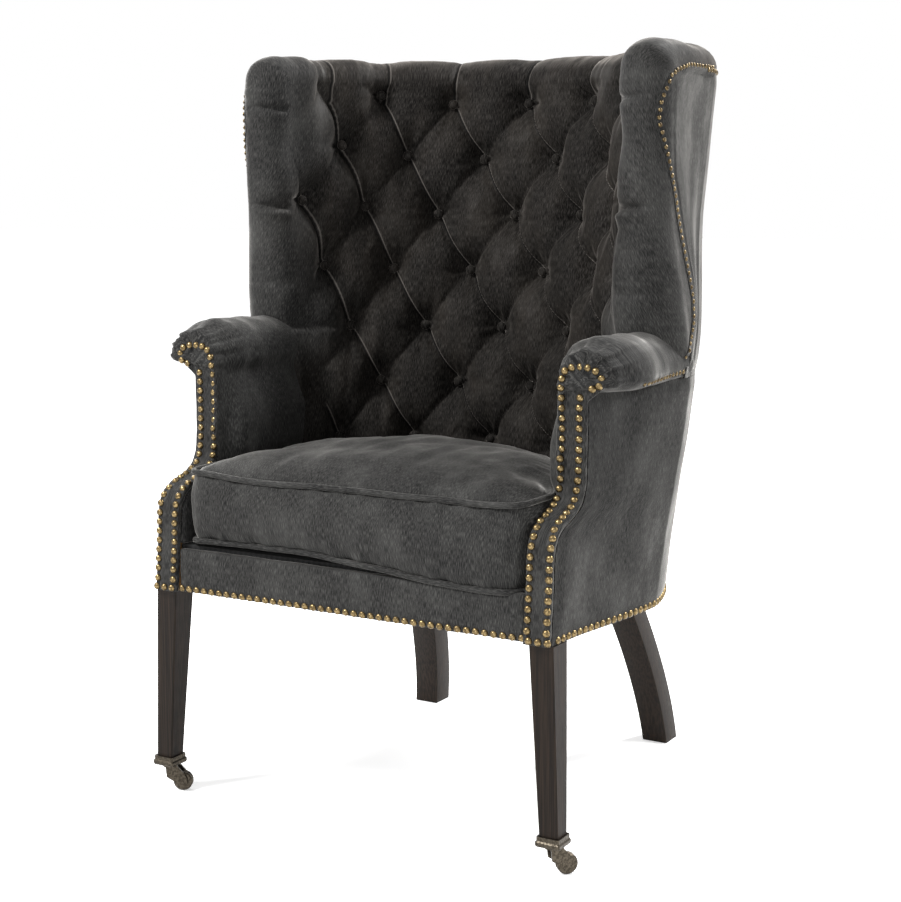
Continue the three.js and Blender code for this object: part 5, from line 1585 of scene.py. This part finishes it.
# The photograph's view
SENSOR_WIDTH = 36
LENS = 67.52
CAMERA_PLACE = (1.3154, -2.2765, 0.9165)
CAMERA_TILT = math.radians(81.32)
CAMERA_TURN = math.radians(30.30)


def seen_directly(tree):
    """1 for rays from the camera, or seen in metal or through glass."""
    rays = add_node(tree, "ShaderNodeLightPath").outputs
    larger = {"operation": "MAXIMUM"}
    glossy, through, camera_ray = rays["Is Glossy Ray"], rays["Is Transmission Ray"], rays["Is Camera Ray"]
    mirrored = add_node(tree, "ShaderNodeMath", larger, i0=glossy, i1=through).outputs[0]
    return add_node(tree, "ShaderNodeMath", larger, i0=camera_ray, i1=mirrored).outputs[0]


def make_stage():
    """A pale floor that keeps the shadow and fades into a white backdrop."""
    deselect()
    bpy.ops.mesh.primitive_plane_add(size=FLOOR_SIZE)
    floor = bpy.context.object
    floor.name = "floor"
    finish, tree, shader = new_finish("white_studio_floor", Roughness=0.9)
    shader.inputs["Base Color"].default_value = linear("#f2f2f2")
    shader.inputs["Specular IOR Level"].default_value = 0.0
    shader.inputs["Emission Color"].default_value = (1, 1, 1, 1)
    place = add_node(tree, "ShaderNodeTexCoord").outputs["Object"]
    away = add_node(tree, "ShaderNodeVectorMath", {"operation": "LENGTH"}, i0=place).outputs["Value"]
    level = add_node(
        tree, "ShaderNodeMapRange", SOFT_STEP,
        Value=away, From_Min=NEAR_REACH, From_Max=FAR_REACH, To_Min=NEAR_GLOW, To_Max=FAR_GLOW,
    ).outputs[0]
    glow = add_node(tree, "ShaderNodeMath", TIMES, i0=seen_directly(tree), i1=level).outputs[0]
    tree.links.new(glow, shader.inputs["Emission Strength"])
    floor.data.materials.append(finish)


def soft_light(name, place, target, size, power):
    deselect()
    bpy.ops.object.light_add(type="AREA", location=place)
    lamp = bpy.context.object
    lamp.name = name
    lamp.data.size = size
    lamp.data.energy = power
    lamp.rotation_euler = (Vector(target) - Vector(place)).to_track_quat("-Z", "Y").to_euler()


def make_world():
    world = bpy.data.worlds.new("white_studio")
    bpy.context.scene.world = world
    world.use_nodes = True
    tree = world.node_tree
    light = tree.nodes["Background"]
    light.inputs["Color"].default_value = (1, 1, 1, 1)
    light.inputs["Strength"].default_value = WORLD_LIGHT
    seen = add_node(tree, "ShaderNodeBackground", None, Strength=1.0)
    seen.inputs["Color"].default_value = (1, 1, 1, 1)
    mixed = add_node(
        tree, "ShaderNodeMixShader", None, i0=seen_directly(tree), i1=light.outputs[0], i2=seen.outputs[0]
    )
    tree.links.new(mixed.outputs[0], tree.nodes["World Output"].inputs["Surface"])


make_stage()
make_world()
for lamp, facts in LAMPS.items():
    soft_light(lamp, *facts)

camera_data = bpy.data.cameras.new("camera")
camera_data.sensor_width = SENSOR_WIDTH
camera_data.lens = LENS
camera = bpy.data.objects.new("camera", camera_data)
camera.location = CAMERA_PLACE
camera.rotation_euler = (CAMERA_TILT, 0, CAMERA_TURN)
bpy.context.scene.collection.objects.link(camera)
bpy.context.scene.camera = camera
bpy.context.scene.view_settings.view_transform = "Standard"
